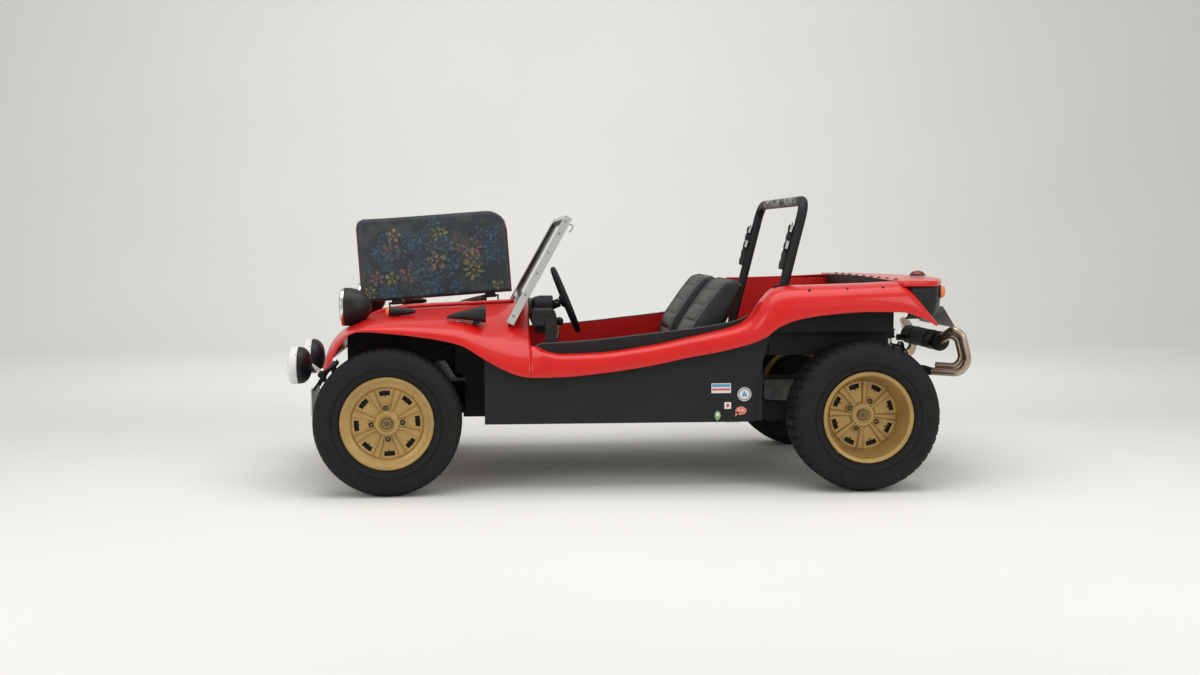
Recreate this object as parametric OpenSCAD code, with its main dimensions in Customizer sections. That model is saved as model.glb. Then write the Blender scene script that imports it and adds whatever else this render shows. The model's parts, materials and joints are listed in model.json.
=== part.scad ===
// Open two-seat dune buggy with a moulded body on a shortened car platform.
// +X points forward, +Y to the left and +Z up. The origin is on the ground,
// under the middle of the vehicle. All sizes are in millimetres.

/* [Overall] */
// Distance between the front and the rear axle
wheelbase = 2100; // [1900:10:2520]
// From the front axle to the front of the fog lamps
front_overhang = 484; // [470:2:560]
// From the rear axle to the back of the exhaust
rear_overhang = 600; // [590:5:720]
// Width over the tub's side walls
tub_w = 1240; // [1200:5:1290]
// Width over the lips of the front fenders
front_w = 1400; // [1360:5:1680]
// Width over the lips of the rear fenders
rear_w = 1520; // [1400:5:1824]

/* [Body] */
// Thickness of the moulded panels
skin = 7; // [5:0.5:10]
// Thickness of the tub's side walls
wall = 8; // [6:0.5:12]
// Height of the floor's underside above the ground
floor_z = 300; // [250:5:320]
// Thickness of the floor sheet
floor_t = 6; // [3:1:10]
// Width of the tunnel along the floor
tunnel_w = 150; // [120:5:180]
// Height of the tunnel above the floor
tunnel_h = 130; // [100:5:150]
// Height of the bonnet at its rear edge
bonnet_z = 815; // [800:1:830]
// Height of the rear deck
deck_z = 925; // [900:5:1000]
// Height of the load floor behind the seats
load_z = 590; // [570:5:620]
// Width of the opening under the bonnet lid
hatch_w = 400; // [320:5:440]
// Distance from the front axle forward to the hatch's front edge
hatch_front = 195; // [150:5:200]
// Distance from the front axle back to the hatch's rear edge
hatch_rear = 565; // [450:5:570]

/* [Bonnet lid] */
// Thickness of the lid's outer skin
lid_t = 6; // [4:0.5:8]
// Thickness of the padded lining
lining_t = 10; // [6:1:14]
// How far the open lid leans past upright, in degrees
lid_lean = 5; // [2:1:10]
// Radius of the hinge pins
hinge_r = 4; // [3:0.5:5]

/* [Windscreen] */
// Width over the windscreen's posts
screen_w = 1080; // [1000:5:1150]
// Height of the windscreen's top edge above the ground
screen_z = 1216; // [1150:2:1300]
// Rake of the windscreen from upright, in degrees
screen_rake = 29; // [24:0.5:32]
// Depth of the frame's bars
screen_bar = 24; // [16:1:30]

/* [Wheels] */
// Radius of the front tyres
front_r = 321; // [300:1:330]
// Radius of the rear tyres
rear_r = 333; // [310:1:345]
// Width of the front tyres
front_tyre_w = 190; // [160:1:205]
// Width of the rear tyres
rear_tyre_w = 255; // [200:1:270]
// Distance between the middles of the front tyres
front_track = 1270; // [1240:2:1350]
// Distance between the middles of the rear tyres
rear_track = 1325; // [1290:2:1400]
// Radius of the rims over their lips
rim_r = 203; // [195:0.5:210]
// Width of the front rims over their lips
front_rim_w = 170; // [150:1:180]
// Width of the rear rims over their lips
rear_rim_w = 229; // [180:1:240]
// Depth of the front wheels' discs behind the lip
front_dish = 14; // [10:1:40]
// Depth of the rear wheels' discs behind the lip
rear_dish = 95; // [60:1:110]
// Radius of the circle of wheel bolts
bolt_circle_r = 65; // [60:1:80]
// Radius of the wheel bolt holes
bolt_hole_r = 7; // [5:0.5:9]
// Radius of the stub axles
stub_r = 15; // [12:0.5:18]

/* [Steering] */
// Distance from the wheel's middle in to the steering pivot
pivot_in = 95; // [90:1:105]
// Diameter of the steering wheel
steering_d = 330; // [300:5:380]
// Length of the steering arms on the knuckles
steer_arm = 120; // [100:5:140]

/* [Roll bar] */
// Width over the outsides of the roll bar's legs
roll_w = 1022; // [940:2:1026]
// Height of the roll bar's top tube
roll_z = 1289; // [1200:2:1400]
// Diameter of the roll bar's tube
roll_d = 46; // [38:1:60]
// Lean of the roll bar from upright, in degrees
roll_lean = 14; // [0:1:20]

/* [Lamps] */
// Diameter of the headlamps
headlamp_d = 175; // [150:1:190]
// Distance between the headlamps
headlamp_gap = 782; // [740:2:820]
// Diameter of the fog lamps
fog_d = 176; // [140:1:190]
// Distance between the fog lamps
fog_gap = 478; // [440:2:560]

/* [Seats] */
// Width of each seat
seat_w = 460; // [400:5:480]
// Distance between the middles of the seats
seat_gap = 620; // [600:5:660]

/* [Hidden] */
$fn = 48;

red = [0.78, 0.07, 0.06];
black = [0.12, 0.12, 0.13];
gold = [0.66, 0.52, 0.29];
steel = [0.55, 0.55, 0.57];
orange = [0.90, 0.38, 0.08];

gap = 0.3;       // between neighbours that nearly touch
bore_gap = 0.05; // between a pin and its bore, on the radius
weld = 1.04;     // swell of a tube at its bends

front_x = (wheelbase + rear_overhang + front_overhang) / 2 - front_overhang;
rear_x = front_x - wheelbase;
floor_top = floor_z + floor_t;

// Places along the vehicle: back from the front axle, or back from the rear one.
function fx(back) = front_x - back;
function rx(back) = rear_x - back;

// ---- helpers ----

module mirrored() {
  children();
  mirror([0, 1, 0]) children();
}

module rod(a, b, d) {
  v = b - a;
  len = norm(v);
  translate(a) rotate([0, acos(v[2] / len), atan2(v[1], v[0])]) cylinder(d = d, h = len);
}

module tube_path(points, d) {
  for (i = [0 : len(points) - 2]) rod(points[i], points[i + 1], d);
  for (i = [1 : 1 : len(points) - 2]) translate(points[i]) sphere(d = d * weld);
}

module rod_cone(a, b, r1, r2) {
  v = b - a;
  len = norm(v);
  translate(a) rotate([0, acos(v[2] / len), atan2(v[1], v[0])]) cylinder(r1 = r1, r2 = r2, h = len);
}

// A plate drawn in the x-z plane, its nearest face at y0, w thick towards +Y.
module side_plate(points, y0, w) {
  translate([0, y0 + w, 0]) rotate([90, 0, 0]) linear_extrude(w) polygon(points);
}

// ---- the moulded sides: front fender, belt and rear fender ----

// Columns: axle (0 front, 1 rear), distance back from it, inner edge (0 the
// bonnet hatch, 1 the tub wall, 2 inside the tub wall, 3 near the lip), height
// of the inner edge, drop of the shoulder, inset of the lip, height of the lip.
SIDE = [
  [0, -283, 0, 575, 0, 110, 548],
  [0, -268, 0, 645, 5, 78, 552],
  [0, -250, 0, 680, 8, 56, 567],
  [0, -209, 0, 714, 10, 32, 644],
  [0, -150, 0, 746, 20, 10, 708],
  [0, -95, 0, 768, 22, 0, 722],
  [0, 0, 0, 785, 22, 0, 715],
  [0, 150, 0, 795, 30, 0, 697],
  [0, 315, 0, 803, 50, 2, 662],
  [0, 405, 0, 808, 85, 6, 609],
  [0, 490, 0, 812, 120, 10, 559],
  [0, 575, 0, 815, 150, 12, 525],
  [0, 622, 0, 817, 155, 12, 517],
  [0, 622.5, 1, 652, 0, 12, 517],
  [0, 680, 1, 628, 0, 12, 517],
  [0, 760, 1, 612, 0, 12, 519],
  [0, 890, 1, 615, 0, 12, 530],
  [1, -960, 1, 645, 0, 70, 565],
  [1, -790, 1, 680, 0, 64, 601],
  [1, -675, 1, 705, 0, 55, 622],
  [1, -573, 1, 732, 0, 45, 646],
  [1, -505, 1, 775, 0, 28, 668],
  [1, -455, 1, 850, 0, 14, 692],
  [1, -400, 2, 896, 0, 4, 735],
  [1, -310, 2, 909, 2, 0, 770],
  [1, -180, 2, 913, 2, 0, 790],
  [1, 0, 2, 919, 2, 0, 802],
  [1, 158, 2, 925, 2, 0, 799],
  [1, 200, 3, 886, 20, 4, 787],
  [1, 260, 3, 815, 20, 12, 765],
  [1, 312, 3, 752, 5, 22, 736]
];
side_split = 13; // first row behind the front fender
side_steps = 10; // points across a moulded side
side_in = 22;    // how far the rear deck's edge lies inside the tub wall
fin_w = 34;      // width of the fender's tip behind the rear wheel
bulge = 6;       // how far the shoulder pulls out past the lip

hatch_edge = hatch_w / 2 + gap;

// A plate drawn in the y-z plane, from x0 forward by len.
module cross_plate(points, x0, len) {
  translate([x0, 0, 0]) rotate([90, 0, 90]) linear_extrude(len) polygon(points);
}

function side_x(s) = s[0] == 0 ? fx(s[1]) : rx(s[1]);
function lip_y(s) = (s[0] == 0 ? front_w : rear_w) / 2 - s[5];
function inner_y(s) =
  s[2] == 0 ? hatch_edge :
  s[2] == 1 ? tub_w / 2 + gap :
  s[2] == 2 ? tub_w / 2 - side_in :
  lip_y(s) - fin_w;

// One section: a curve from the inner edge over the shoulder to the lip.
function shape(s) = [
  [inner_y(s), s[3]], [(inner_y(s) + lip_y(s)) / 2, s[3] - 0.3 * s[4]],
  [lip_y(s) + bulge, s[3] - s[4]], [lip_y(s), s[6]]
];
function bend(c, t) = let (u = 1 - t)
  u * u * u * c[0] + 3 * u * u * t * c[1] + 3 * u * t * t * c[2] + t * t * t * c[3];
function bend_dir(c, t) = let (u = 1 - t)
  u * u * (c[1] - c[0]) + 2 * u * t * (c[2] - c[1]) + t * t * (c[3] - c[2]);
function side_section(s) = [for (i = [0 : side_steps]) bend(shape(s), i / side_steps)];
function side_lining(s) = [for (i = [side_steps : -1 : 0])
  let (v = bend_dir(shape(s), i / side_steps))
  bend(shape(s), i / side_steps) + skin * (i == 0 ? [0, -1] : [v[1], -v[0]] / norm(v))];

// Height of the moulded side's outer face at a place on the vehicle.
function section_z(s, y) = lookup(y, side_section(s));
function skin_top(x, y) =
  let (k = max([for (i = [0 : len(SIDE) - 2]) if (side_x(SIDE[i]) >= x) i]))
  let (xa = side_x(SIDE[k]), xb = side_x(SIDE[k + 1]), f = (xa - x) / (xa - xb))
  section_z(SIDE[k], y) * (1 - f) + section_z(SIDE[k + 1], y) * f;
// Where a flat foot between two corners comes to stand on the skin.
function foot_z(x0, x1, y0, y1) =
  max([for (x = [x0, x1], y = [y0, y1]) skin_top(x, y)]) + gap;

// Rings of points joined into one closed skin.
module ring_skin(rings) {
  n = len(rings[0]);
  half = n / 2;
  last = len(rings) - 1;
  points = [for (ring = rings) each ring];
  sides = [for (r = [0 : last - 1], k = [0 : n - 1])
    let (a = r * n + k, b = r * n + (k + 1) % n)
    each [[a, b, b + n], [a, b + n, a + n]]];
  first_cap = [for (k = [0 : half - 2]) each [[k, n - 1 - k, n - 2 - k], [k, n - 2 - k, k + 1]]];
  last_cap = [for (f = first_cap) [for (k = [2, 1, 0]) f[k] + last * n]];
  polyhedron(points, concat(sides, first_cap, last_cap));
}

module side_part(first, last) {
  ring_skin([for (i = [first : last])
    [for (p = concat(side_section(SIDE[i]), side_lining(SIDE[i]))) [side_x(SIDE[i]), p[0], p[1]]]]);
}
module body_side() {
  side_part(0, side_split - 1);
  side_part(side_split, len(SIDE) - 1);
}

module body_side_left() { color(red) body_side(); }
module body_side_right() { color(red) mirror([0, 1, 0]) body_side(); }

// ---- nose and cowl between the two sides ----

hatch_nose = fx(-hatch_front);
hatch_cowl = fx(hatch_rear);
cowl_end = fx(622);

// Height of the bonnet's centre line at a distance back from the front axle.
function bonnet_at(back) = lookup(back, [for (i = [0 : side_split - 1]) [SIDE[i][1], SIDE[i][3]]]);

module nose_panel() {
  backs = [for (i = [0 : 3]) SIDE[i][1]];
  top = concat([for (b = backs) [fx(b), bonnet_at(b)]], [[hatch_nose, bonnet_at(-hatch_front)]]);
  under = [for (i = [len(top) - 1 : -1 : 0]) top[i] - [skin * 0.7, skin]];
  side_plate(concat(top, under), -hatch_w / 2, hatch_w);
}

module cowl_panel() {
  translate([cowl_end, -hatch_w / 2, bonnet_at(hatch_rear) - skin])
    cube([hatch_cowl - cowl_end, hatch_w, skin]);
}

module bonnet_surround() color(red) {
  nose_panel();
  cowl_panel();
}

// Tray under the hatch, hung from the moulded sides.
tray_y = hatch_w / 2 + 30;
tray_z = 548;
tray_front = fx(-215);
tray_rear = fx(380);

module front_tray() color(black) {
  backs = [-215, -150, -95, 0, 150, 315, 380];
  rim = [for (b = backs) [fx(b), skin_top(fx(b), tray_y) - skin - 2 * gap]];
  translate([tray_rear, -tray_y, tray_z]) cube([tray_front - tray_rear, 2 * tray_y, 4]);
  mirrored() side_plate(concat(rim, [[tray_rear, tray_z], [tray_front, tray_z]]), tray_y - 4, 4);
}

module fuel_tank() color(black) {
  translate([fx(330), -hatch_w / 2 - 10, tray_z + 4]) cube([400, hatch_w + 20, 150]);
  translate([fx(20), 0, tray_z + 153]) cylinder(r = 42, h = 34);
}

// ---- tub ----

// Columns: axle, distance back, height of the tub wall's top edge.
WALL_TOP = [
  [0, 420, 590], [0, 640, 600], [0, 665, 655], [0, 750, 658],
  [1, -954, 695], [1, -570, 750], [1, -505, 775]
];
function wall_x(row) = row[0] == 0 ? fx(row[1]) : rx(row[1]);

module tub_wall() {
  top = [for (row = WALL_TOP) [wall_x(row), row[2]]];
  back = [[rx(-400), 720], [rx(-445), 560], [rx(-478), 430], [rx(-482), floor_z]];
  side_plate(concat(top, back, [[fx(420), floor_z]]), tub_w / 2 - wall, wall);
}

module tub_walls() color(black) mirrored() tub_wall();

// Walls round the front wheels: across at the tub wall's end, then forward.
well_in = 350; // half the width between the front wheel wells
module footwells() color(black) mirrored() {
  translate([fx(420) - wall, well_in, floor_top + gap])
    cube([wall, tub_w / 2 - wall - gap - well_in, 320]);
  translate([fx(420) - wall, well_in - 4, floor_top + gap]) cube([fx(330) - fx(420) + wall, 4, 240]);
}

pan_w = tub_w - 2 * wall - 2 * gap;
pan_front = fx(330);
pan_rear = rx(-490);

module floor_pan() color(black) {
  translate([pan_rear, -pan_w / 2, floor_z]) cube([fx(420) - pan_rear, pan_w, floor_t]);
  translate([fx(430), -well_in, floor_z]) cube([fx(320) - fx(430), 2 * well_in, floor_t]);
  difference() {
    translate([pan_rear, -tunnel_w / 2, floor_z]) cube([fx(60) - pan_rear, tunnel_w, tunnel_h + floor_t]);
    translate([pan_rear - 1, -tunnel_w / 2 + 4, floor_z - 1])
      cube([fx(60) - pan_rear + 2, tunnel_w - 8, tunnel_h + floor_t - 3]);
  }
  translate([pan_front + 2, 4 - well_in, floor_z + 1]) rotate([0, 32, 0])
    translate([-floor_t, 0, 0]) cube([floor_t, 2 * well_in - 8, 280]);
}

tub_in = tub_w - 2 * wall - 2 * gap;
wall_back = rx(158);                                // rear face of the black rear wall
riser_x = rx(-440);                                 // front face of the riser behind the seats
well_y = (rear_track - rear_tyre_w) / 2 - 15;       // half width between the rear wheel wells
shelf_z = rear_r + rear_r + 34;                     // top of the rear wheel wells
rear_side_y = tub_w / 2 - side_in - gap;

module rear_tub() color(red) {
  front = wall_back + skin;
  translate([front, -well_y, load_z]) cube([riser_x - front, 2 * well_y, skin]);
  translate([riser_x - skin, -well_y, floor_top + gap]) cube([skin, 2 * well_y, load_z - floor_top]);
  mirrored() cross_plate([
    [well_y - skin, load_z], [well_y, load_z], [well_y, shelf_z], [rear_side_y, shelf_z],
    [rear_side_y, deck_z - 16], [rear_side_y - skin, deck_z - 16],
    [rear_side_y - skin, shelf_z + skin], [well_y - skin, shelf_z + skin]
  ], front, rx(-395) - front);
}

module rear_wall() color(black) {
  half = [[well_y, load_z], [well_y, shelf_z], [rear_side_y, shelf_z], [rear_side_y, deck_z + 10]];
  other = [for (i = [len(half) - 1 : -1 : 0]) [-half[i][0], half[i][1]]];
  cross_plate(concat(half, other), wall_back, skin - gap);
}

// Columns: distance back from the rear axle, half width of the tail there.
TAIL = [[158, 597], [158, 728], [200, 722], [312, 696], [352, 640], [450, 380], [500, 0]];

module tail_deck() color(red) {
  half = [for (row = TAIL) [rx(row[0]) - gap, row[1]]];
  other = [for (i = [len(TAIL) - 2 : -1 : 0]) [half[i][0], -half[i][1]]];
  translate([0, 0, deck_z + gap]) linear_extrude(skin) polygon(concat(half, other));
}

// Plan of the black tail panel's outer face, left side.
TAIL_FACE = [[rx(200), 715], [rx(312), 697], [rx(352), 636], [rx(450), 376], [rx(498), 0]];
tail_low = 760;

module tail_panel() color(black) {
  n = len(TAIL_FACE) - 1;
  inner = [for (i = [n : -1 : 0]) TAIL_FACE[i] + [i == 0 ? 0 : skin, i == n ? 0 : -skin]];
  mirrored() translate([0, 0, tail_low])
    linear_extrude(deck_z - tail_low) polygon(concat(TAIL_FACE, inner));
}

// ---- bonnet lid, open on its hinges along the right edge ----

lid_front = 10 - hatch_front;    // distances back from the front axle
lid_rear = hatch_rear - 10;
lid_slope = atan((bonnet_at(lid_rear) - bonnet_at(-100)) / (lid_rear + 100));
lid_len = (lid_rear - lid_front) / cos(lid_slope);
lid_lift = 12;                   // of the closed lid above the bonnet
hinge_r_out = hinge_r + 4;
hinge_y = -hatch_w / 2 - 16;
hinge_z = bonnet_at(-100) - (lid_front + 100) * -tan(lid_slope) + 25;
lid_reach = hatch_w / 2 - hinge_y + 6;
hinge_places = [170, lid_len - 110];
hinge_len = 60;

// Along the hinge line, which rises towards the rear: local +x runs back.
module on_hinge() {
  translate([fx(lid_front), hinge_y, hinge_z]) rotate([0, lid_slope, 0]) mirror([1, 0, 0]) children();
}
// The lid stands open: local y is the way from the hinge to the free edge.
module lid_open() { on_hinge() rotate([90 + lid_lean, 0, 0]) children(); }

// Outline of the lid: rounded corners, the rear one cut back.
module lid_shape(inset) {
  offset(delta = -inset) hull() {
    translate([0, 14]) square([lid_len, 10]);
    translate([78, lid_reach - 42]) circle(42);
    translate([lid_len - 70, lid_reach - 42]) circle(42);
    translate([lid_len - 24, lid_reach - 130]) circle(24);
  }
}

// The lid's outline cut from a sheet that follows the bonnet's line.
module lid_sheet(lift, t, inset) {
  backs = [lid_front, -150, -95, 0, 150, 315, lid_rear];
  curve = [for (b = backs)
    let (dx = b - lid_front, dz = bonnet_at(b) - hinge_z)
    [dx * cos(lid_slope) + dz * sin(lid_slope), dz * cos(lid_slope) - dx * sin(lid_slope) + lift]];
  upper = [for (i = [len(curve) - 1 : -1 : 0]) curve[i] + [0, t]];
  intersection() {
    side_plate(concat(curve, upper), 0, lid_reach + 10);
    translate([0, 0, -200]) linear_extrude(300) lid_shape(inset);
  }
}

module bonnet_lid() color(red) lid_open() {
  difference() {
    union() {
      lid_sheet(lid_lift, lid_t, 0);
      for (p = hinge_places) translate([p - hinge_len / 2, 0, 0]) {
        rotate([0, 90, 0]) cylinder(r = hinge_r_out, h = hinge_len);
        translate([0, 0, -8]) cube([hinge_len, 24, 6]);
      }
    }
    for (p = hinge_places) translate([p - hinge_len / 2 - 1, 0, 0])
      rotate([0, 90, 0]) cylinder(r = hinge_r + bore_gap, h = hinge_len + 2);
  }
}

module bonnet_lining() color([0.13, 0.15, 0.17]) lid_open()
  lid_sheet(lid_lift - lining_t - gap, lining_t, 16);

// Depth of a hinge bracket's foot below the hinge line, p along it.
function hinge_foot(p) =
  let (back = lid_front + p * cos(lid_slope))
  hinge_z + p * sin(lid_slope) - foot_z(fx(back - 6), fx(back + 6), -hinge_y - 6, -hinge_y + 6);

module bonnet_hinges() color(black) for (p = hinge_places, side = [-1, 1]) {
  on_hinge() {
    at = p + side * (hinge_len / 2 + 8);
    translate([p, 0, 0]) rotate([0, 90 * side, 0]) cylinder(r = hinge_r, h = hinge_len / 2 + 12);
    translate([at - 4, -6, -hinge_foot(at)]) cube([8, 12, hinge_foot(at) + 6]);
  }
}

// ---- windscreen ----

screen_foot_x = fx(530);
screen_foot_z = skin_top(screen_foot_x, screen_w / 2 - screen_bar) + screen_bar / 2 + 1;
screen_len = (screen_z - screen_foot_z) / cos(screen_rake);
// from the posts' feet up to the lower bar, which clears the cowl
screen_sill = (bonnet_at(hatch_rear) + gap - screen_foot_z + screen_bar / 2 * sin(screen_rake))
  / cos(screen_rake);
glass_t = 6;

module on_screen() {
  translate([screen_foot_x, 0, screen_foot_z]) rotate([0, -screen_rake, 0]) children();
}

module windscreen_frame() color(steel) on_screen() {
  difference() {
    translate([-screen_bar / 2, -screen_w / 2, 0]) cube([screen_bar, screen_w, screen_len]);
    translate([-screen_bar, -screen_w / 2 + screen_bar, screen_sill + screen_bar])
      cube([2 * screen_bar, screen_w - 2 * screen_bar, screen_len - screen_sill - 2 * screen_bar]);
    translate([-screen_bar, -screen_w / 2 + screen_bar, -1])
      cube([2 * screen_bar, screen_w - 2 * screen_bar, screen_sill + 1]);
  }
}

module windscreen_glass() color([0.75, 0.85, 0.88, 0.4]) on_screen()
  translate([-glass_t / 2, -screen_w / 2 + screen_bar, screen_sill + screen_bar])
    cube([glass_t, screen_w - 2 * screen_bar, screen_len - screen_sill - 2 * screen_bar]);

// ---- dashboard and steering ----

dash_front = fx(632);
dash_depth = 106;

module dashboard() color(black) {
  difference() {
    union() {
      translate([dash_front - dash_depth, -tub_in / 2, 735]) cube([dash_depth, tub_in, 68]);
      mirrored() translate([dash_front - dash_depth, tub_in / 2 - 8, 620]) cube([50, 8, 120]);
      translate([dash_front - dash_depth + 8, seat_gap / 2, 800])
        rotate([0, 90, 0]) cylinder(d = 110, h = dash_depth - 8);
    }
    on_column() cylinder(r = column_r + gap, h = 400);
  }
}

wheel_hub = [fx(793), seat_gap / 2, 834];
column_tilt = 22; // slope of the steering column
shaft_r = 9;
column_r = 20;

module on_column() { translate(wheel_hub) rotate([0, 90 + column_tilt, 0]) children(); }

column_len = (wheel_hub[0] - fx(-60)) / -cos(column_tilt);

module steering_column() color(black) {
  on_column() {
    cylinder(r = shaft_r, h = 30);
    translate([0, 0, 28]) cylinder(r = column_r, h = 135);
    translate([0, 0, 160]) cylinder(r = shaft_r, h = column_len - 160);
  }
  translate([fx(-60), seat_gap / 2 - 40, front_r + 130 + 28 + gap]) cube([115, 80, 70]);
}

module steering_wheel() color(black) on_column() {
  rim_d = 26;
  rotate_extrude() translate([steering_d / 2 - rim_d / 2, 0]) circle(d = rim_d);
  difference() {
    union() {
      translate([0, 0, -8]) cylinder(r = 34, h = 28);
      for (a = [90, 210, 330]) rotate([0, 0, a])
        translate([20, -14, 2]) cube([steering_d / 2 - 40, 28, 5]);
    }
    translate([0, 0, -1]) cylinder(r = shaft_r + bore_gap, h = 40);
  }
}

// ---- seats and controls ----

seat_y = seat_gap / 2;

module seat_cushion() {
  side_plate([
    [rx(-830) + gap, floor_top], [rx(-1270), floor_top], [rx(-1285), floor_top + 60],
    [rx(-1270), floor_top + 165], [rx(-1200), floor_top + 182], [rx(-830) + gap, floor_top + 150]
  ], seat_y - seat_w / 2, seat_w);
}
module seat_back() {
  side_plate([
    [rx(-830), floor_top + 150], [rx(-775), 692], [rx(-640), 895], [rx(-615), 925],
    [rx(-575), 938], [rx(-505), 928], [rx(-575), 700], [rx(-650), floor_top], [rx(-830), floor_top]
  ], seat_y - seat_w / 2, seat_w);
}
module seat_cushions() color(black) mirrored() seat_cushion();
module seat_backs() color(black) mirrored() seat_back();

tunnel_top = floor_top + tunnel_h;

module driver_controls() color(black) {
  // gear lever and handbrake on the tunnel
  translate([fx(720), 0, tunnel_top + gap]) cylinder(r = 24, h = 22);
  rod([fx(720), 0, tunnel_top + 12], [fx(780), 0, 712], 12);
  translate([fx(780), 0, 716]) sphere(d = 42);
  translate([fx(1060), -14, tunnel_top + gap]) cube([70, 28, 50]);
  rod([fx(1040), 0, tunnel_top + 38], [fx(860), 0, tunnel_top + 110], 18);
  // three pedals on the floor
  for (y = [160, 245, 325]) {
    translate([fx(495), y - 12, floor_top + gap]) cube([50, 24, 14]);
    rod([fx(470), y, floor_top + 9], [fx(520), y, 470], 12);
    translate([fx(524), y - 25, 460]) cube([6, 50, 60]);
  }
}

// ---- roll bar ----

roll_top_x = rx(-227);
leg_y = (roll_w - roll_d) / 2;
roll_foot_z = load_z + skin + gap;

module roll_bar() color(black) {
  bend_r = 75;
  leg = (roll_z - roll_foot_z - roll_d / 2 * sin(roll_lean) - 1) / cos(roll_lean);
  translate([roll_top_x, 0, roll_z]) rotate([0, -roll_lean, 0]) {
    mirrored() {
      translate([0, leg_y, -leg]) cylinder(d = roll_d, h = leg - bend_r);
      translate([0, leg_y - bend_r, -bend_r]) rotate([0, -90, 0])
        rotate_extrude(angle = 90) translate([bend_r, 0]) circle(d = roll_d);
    }
    translate([0, bend_r - leg_y, 0]) rotate([-90, 0, 0]) cylinder(d = roll_d, h = 2 * (leg_y - bend_r));
  }
  foot_x = roll_top_x + (roll_z - roll_foot_z) * tan(roll_lean);
  mirrored() translate([foot_x - 38, leg_y - 60, roll_foot_z]) cube([76, 59 + roll_d / 2, 8]);
}

module shoulder_belts() color([0.2, 0.2, 0.2])
  translate([roll_top_x, 0, roll_z]) rotate([0, -roll_lean, 0])
  mirrored() translate([roll_d / 2 + gap, leg_y - 26, -340]) cube([12, 44, 220]);

// ---- lamps, mirrors and plate ----

headlamp_z = 810;
headlamp_len = 140;

module headlamps() color(black) mirrored() {
  translate([fx(-223), headlamp_gap / 2, headlamp_z]) rotate([0, -90, 0]) rotate_extrude() polygon([
    [0, -6], [60, 0], [headlamp_d / 2 - 6, 6], [headlamp_d / 2, 10], [headlamp_d / 2, 30],
    [headlamp_d / 2 - 20, 70], [headlamp_d / 2 - 50, 115], [18, headlamp_len], [0, headlamp_len]
  ]);
  y = headlamp_gap / 2;
  z = foot_z(fx(-146), fx(-114), y - 16, y + 16);
  translate([fx(-130), y, z]) cylinder(r = 16, h = headlamp_z - z - 20);
}

fog_z = 533;
fog_x = fx(-front_overhang);

module fog_lamps() color(black) mirrored() {
  translate([fog_x, fog_gap / 2, fog_z]) rotate([0, -90, 0]) rotate_extrude() polygon([
    [0, 0], [fog_d / 2 - 12, 6], [fog_d / 2, 16], [fog_d / 2, 50],
    [fog_d / 2 - 18, 85], [30, 108], [0, 108]
  ]);
}

bracket_x = fx(-330);
plate_holes = 240;   // between the holes of the number plate's holder
plate_hole_r = 3.25;

module front_bracket() color(black) {
  // bar behind the fog lamps, its two arms and the plate holder
  rod([bracket_x, -300, fog_z - 40], [bracket_x, 300, fog_z - 40], 30);
  mirrored() {
    translate([beam_x + 28 + gap, 190, front_r + 124]) cube([bracket_x - beam_x - 28 - gap, 20, 12]);
    translate([bracket_x - 8, 190, front_r + 124]) cube([16, 20, fog_z - 40 - front_r - 124]);
    translate([bracket_x - 20, fog_gap / 2 - 15, fog_z - 40]) cube([66, 30, 24]);
  }
  difference() {
    translate([fx(-392), -150, 280]) cube([6, 300, 130]);
    mirrored() translate([fx(-380), plate_holes / 2, 330]) rotate([0, 90, 0])
      cylinder(r = plate_hole_r, h = 30);
  }
  mirrored() rod([fx(-389), 100, 400], [bracket_x, 100, fog_z - 40], 12);
}

signal_r = 21;

module front_signals() {
  y = headlamp_gap / 2 + 105;
  z = foot_z(fx(6), fx(46), y - 10, y + 10);
  mirrored() {
    translate([fx(0), y, z + signal_r]) {
      color(orange) rotate([0, 90, 0]) cylinder(r1 = signal_r, r2 = 12, h = 18);
      color(black) rotate([0, -90, 0]) cylinder(r1 = signal_r, r2 = 8, h = 118);
    }
    color(black) translate([fx(46), y - 10, z]) cube([40, 20, signal_r]);
  }
}

mirror_y = 575;

module mirrors() color(black) {
  z = foot_z(fx(400), fx(370), mirror_y - 12, mirror_y + 12) - gap;
  mirrored() {
    rod_cone([fx(428), mirror_y, 786], [fx(255), mirror_y, 770], 41, 6);
    translate([fx(400), mirror_y - 12, z]) cube([30, 24, 780 - z]);
  }
}

// A point on the tail panel's face between two of its corners, and its heading.
function face_at(k, f) = TAIL_FACE[k] * (1 - f) + TAIL_FACE[k + 1] * f;
function face_turn(k) =
  let (v = TAIL_FACE[k + 1] - TAIL_FACE[k])
  atan2(-v[0], v[1]);

module tail_lamps() {
  spot = face_at(2, 0.16);
  turn = face_turn(2);
  mirrored() color(orange) translate([spot[0], spot[1], 878]) rotate([0, 90, turn])
    translate([0, 0, gap]) cylinder(d = 60, h = 26);
  color(black) translate([rx(460), 0, deck_z + skin + 2 * gap]) cylinder(r1 = 40, r2 = 26, h = 26);
}

plate_tilt = 32;
plate_h = 120;
module number_plate() color([0.9, 0.9, 0.9]) {
  top = [rx(498) - 2 * gap, 792];
  down = top - plate_h * [sin(plate_tilt), cos(plate_tilt)];
  back = 4 * [-cos(plate_tilt), sin(plate_tilt)];
  side_plate([top, down, down + back, top + back], -260, 520);
}

// ---- front axle and steering gear ----

beam_x = fx(-150);
pivot_y = front_track / 2 - pivot_in;
front_z = front_r;
rear_z = rear_r;

beam_end = pivot_y - 110;
king_top = front_z + 106;
king_low = front_z - 46;
king_r = 8;
drum_depth = 60;

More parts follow.
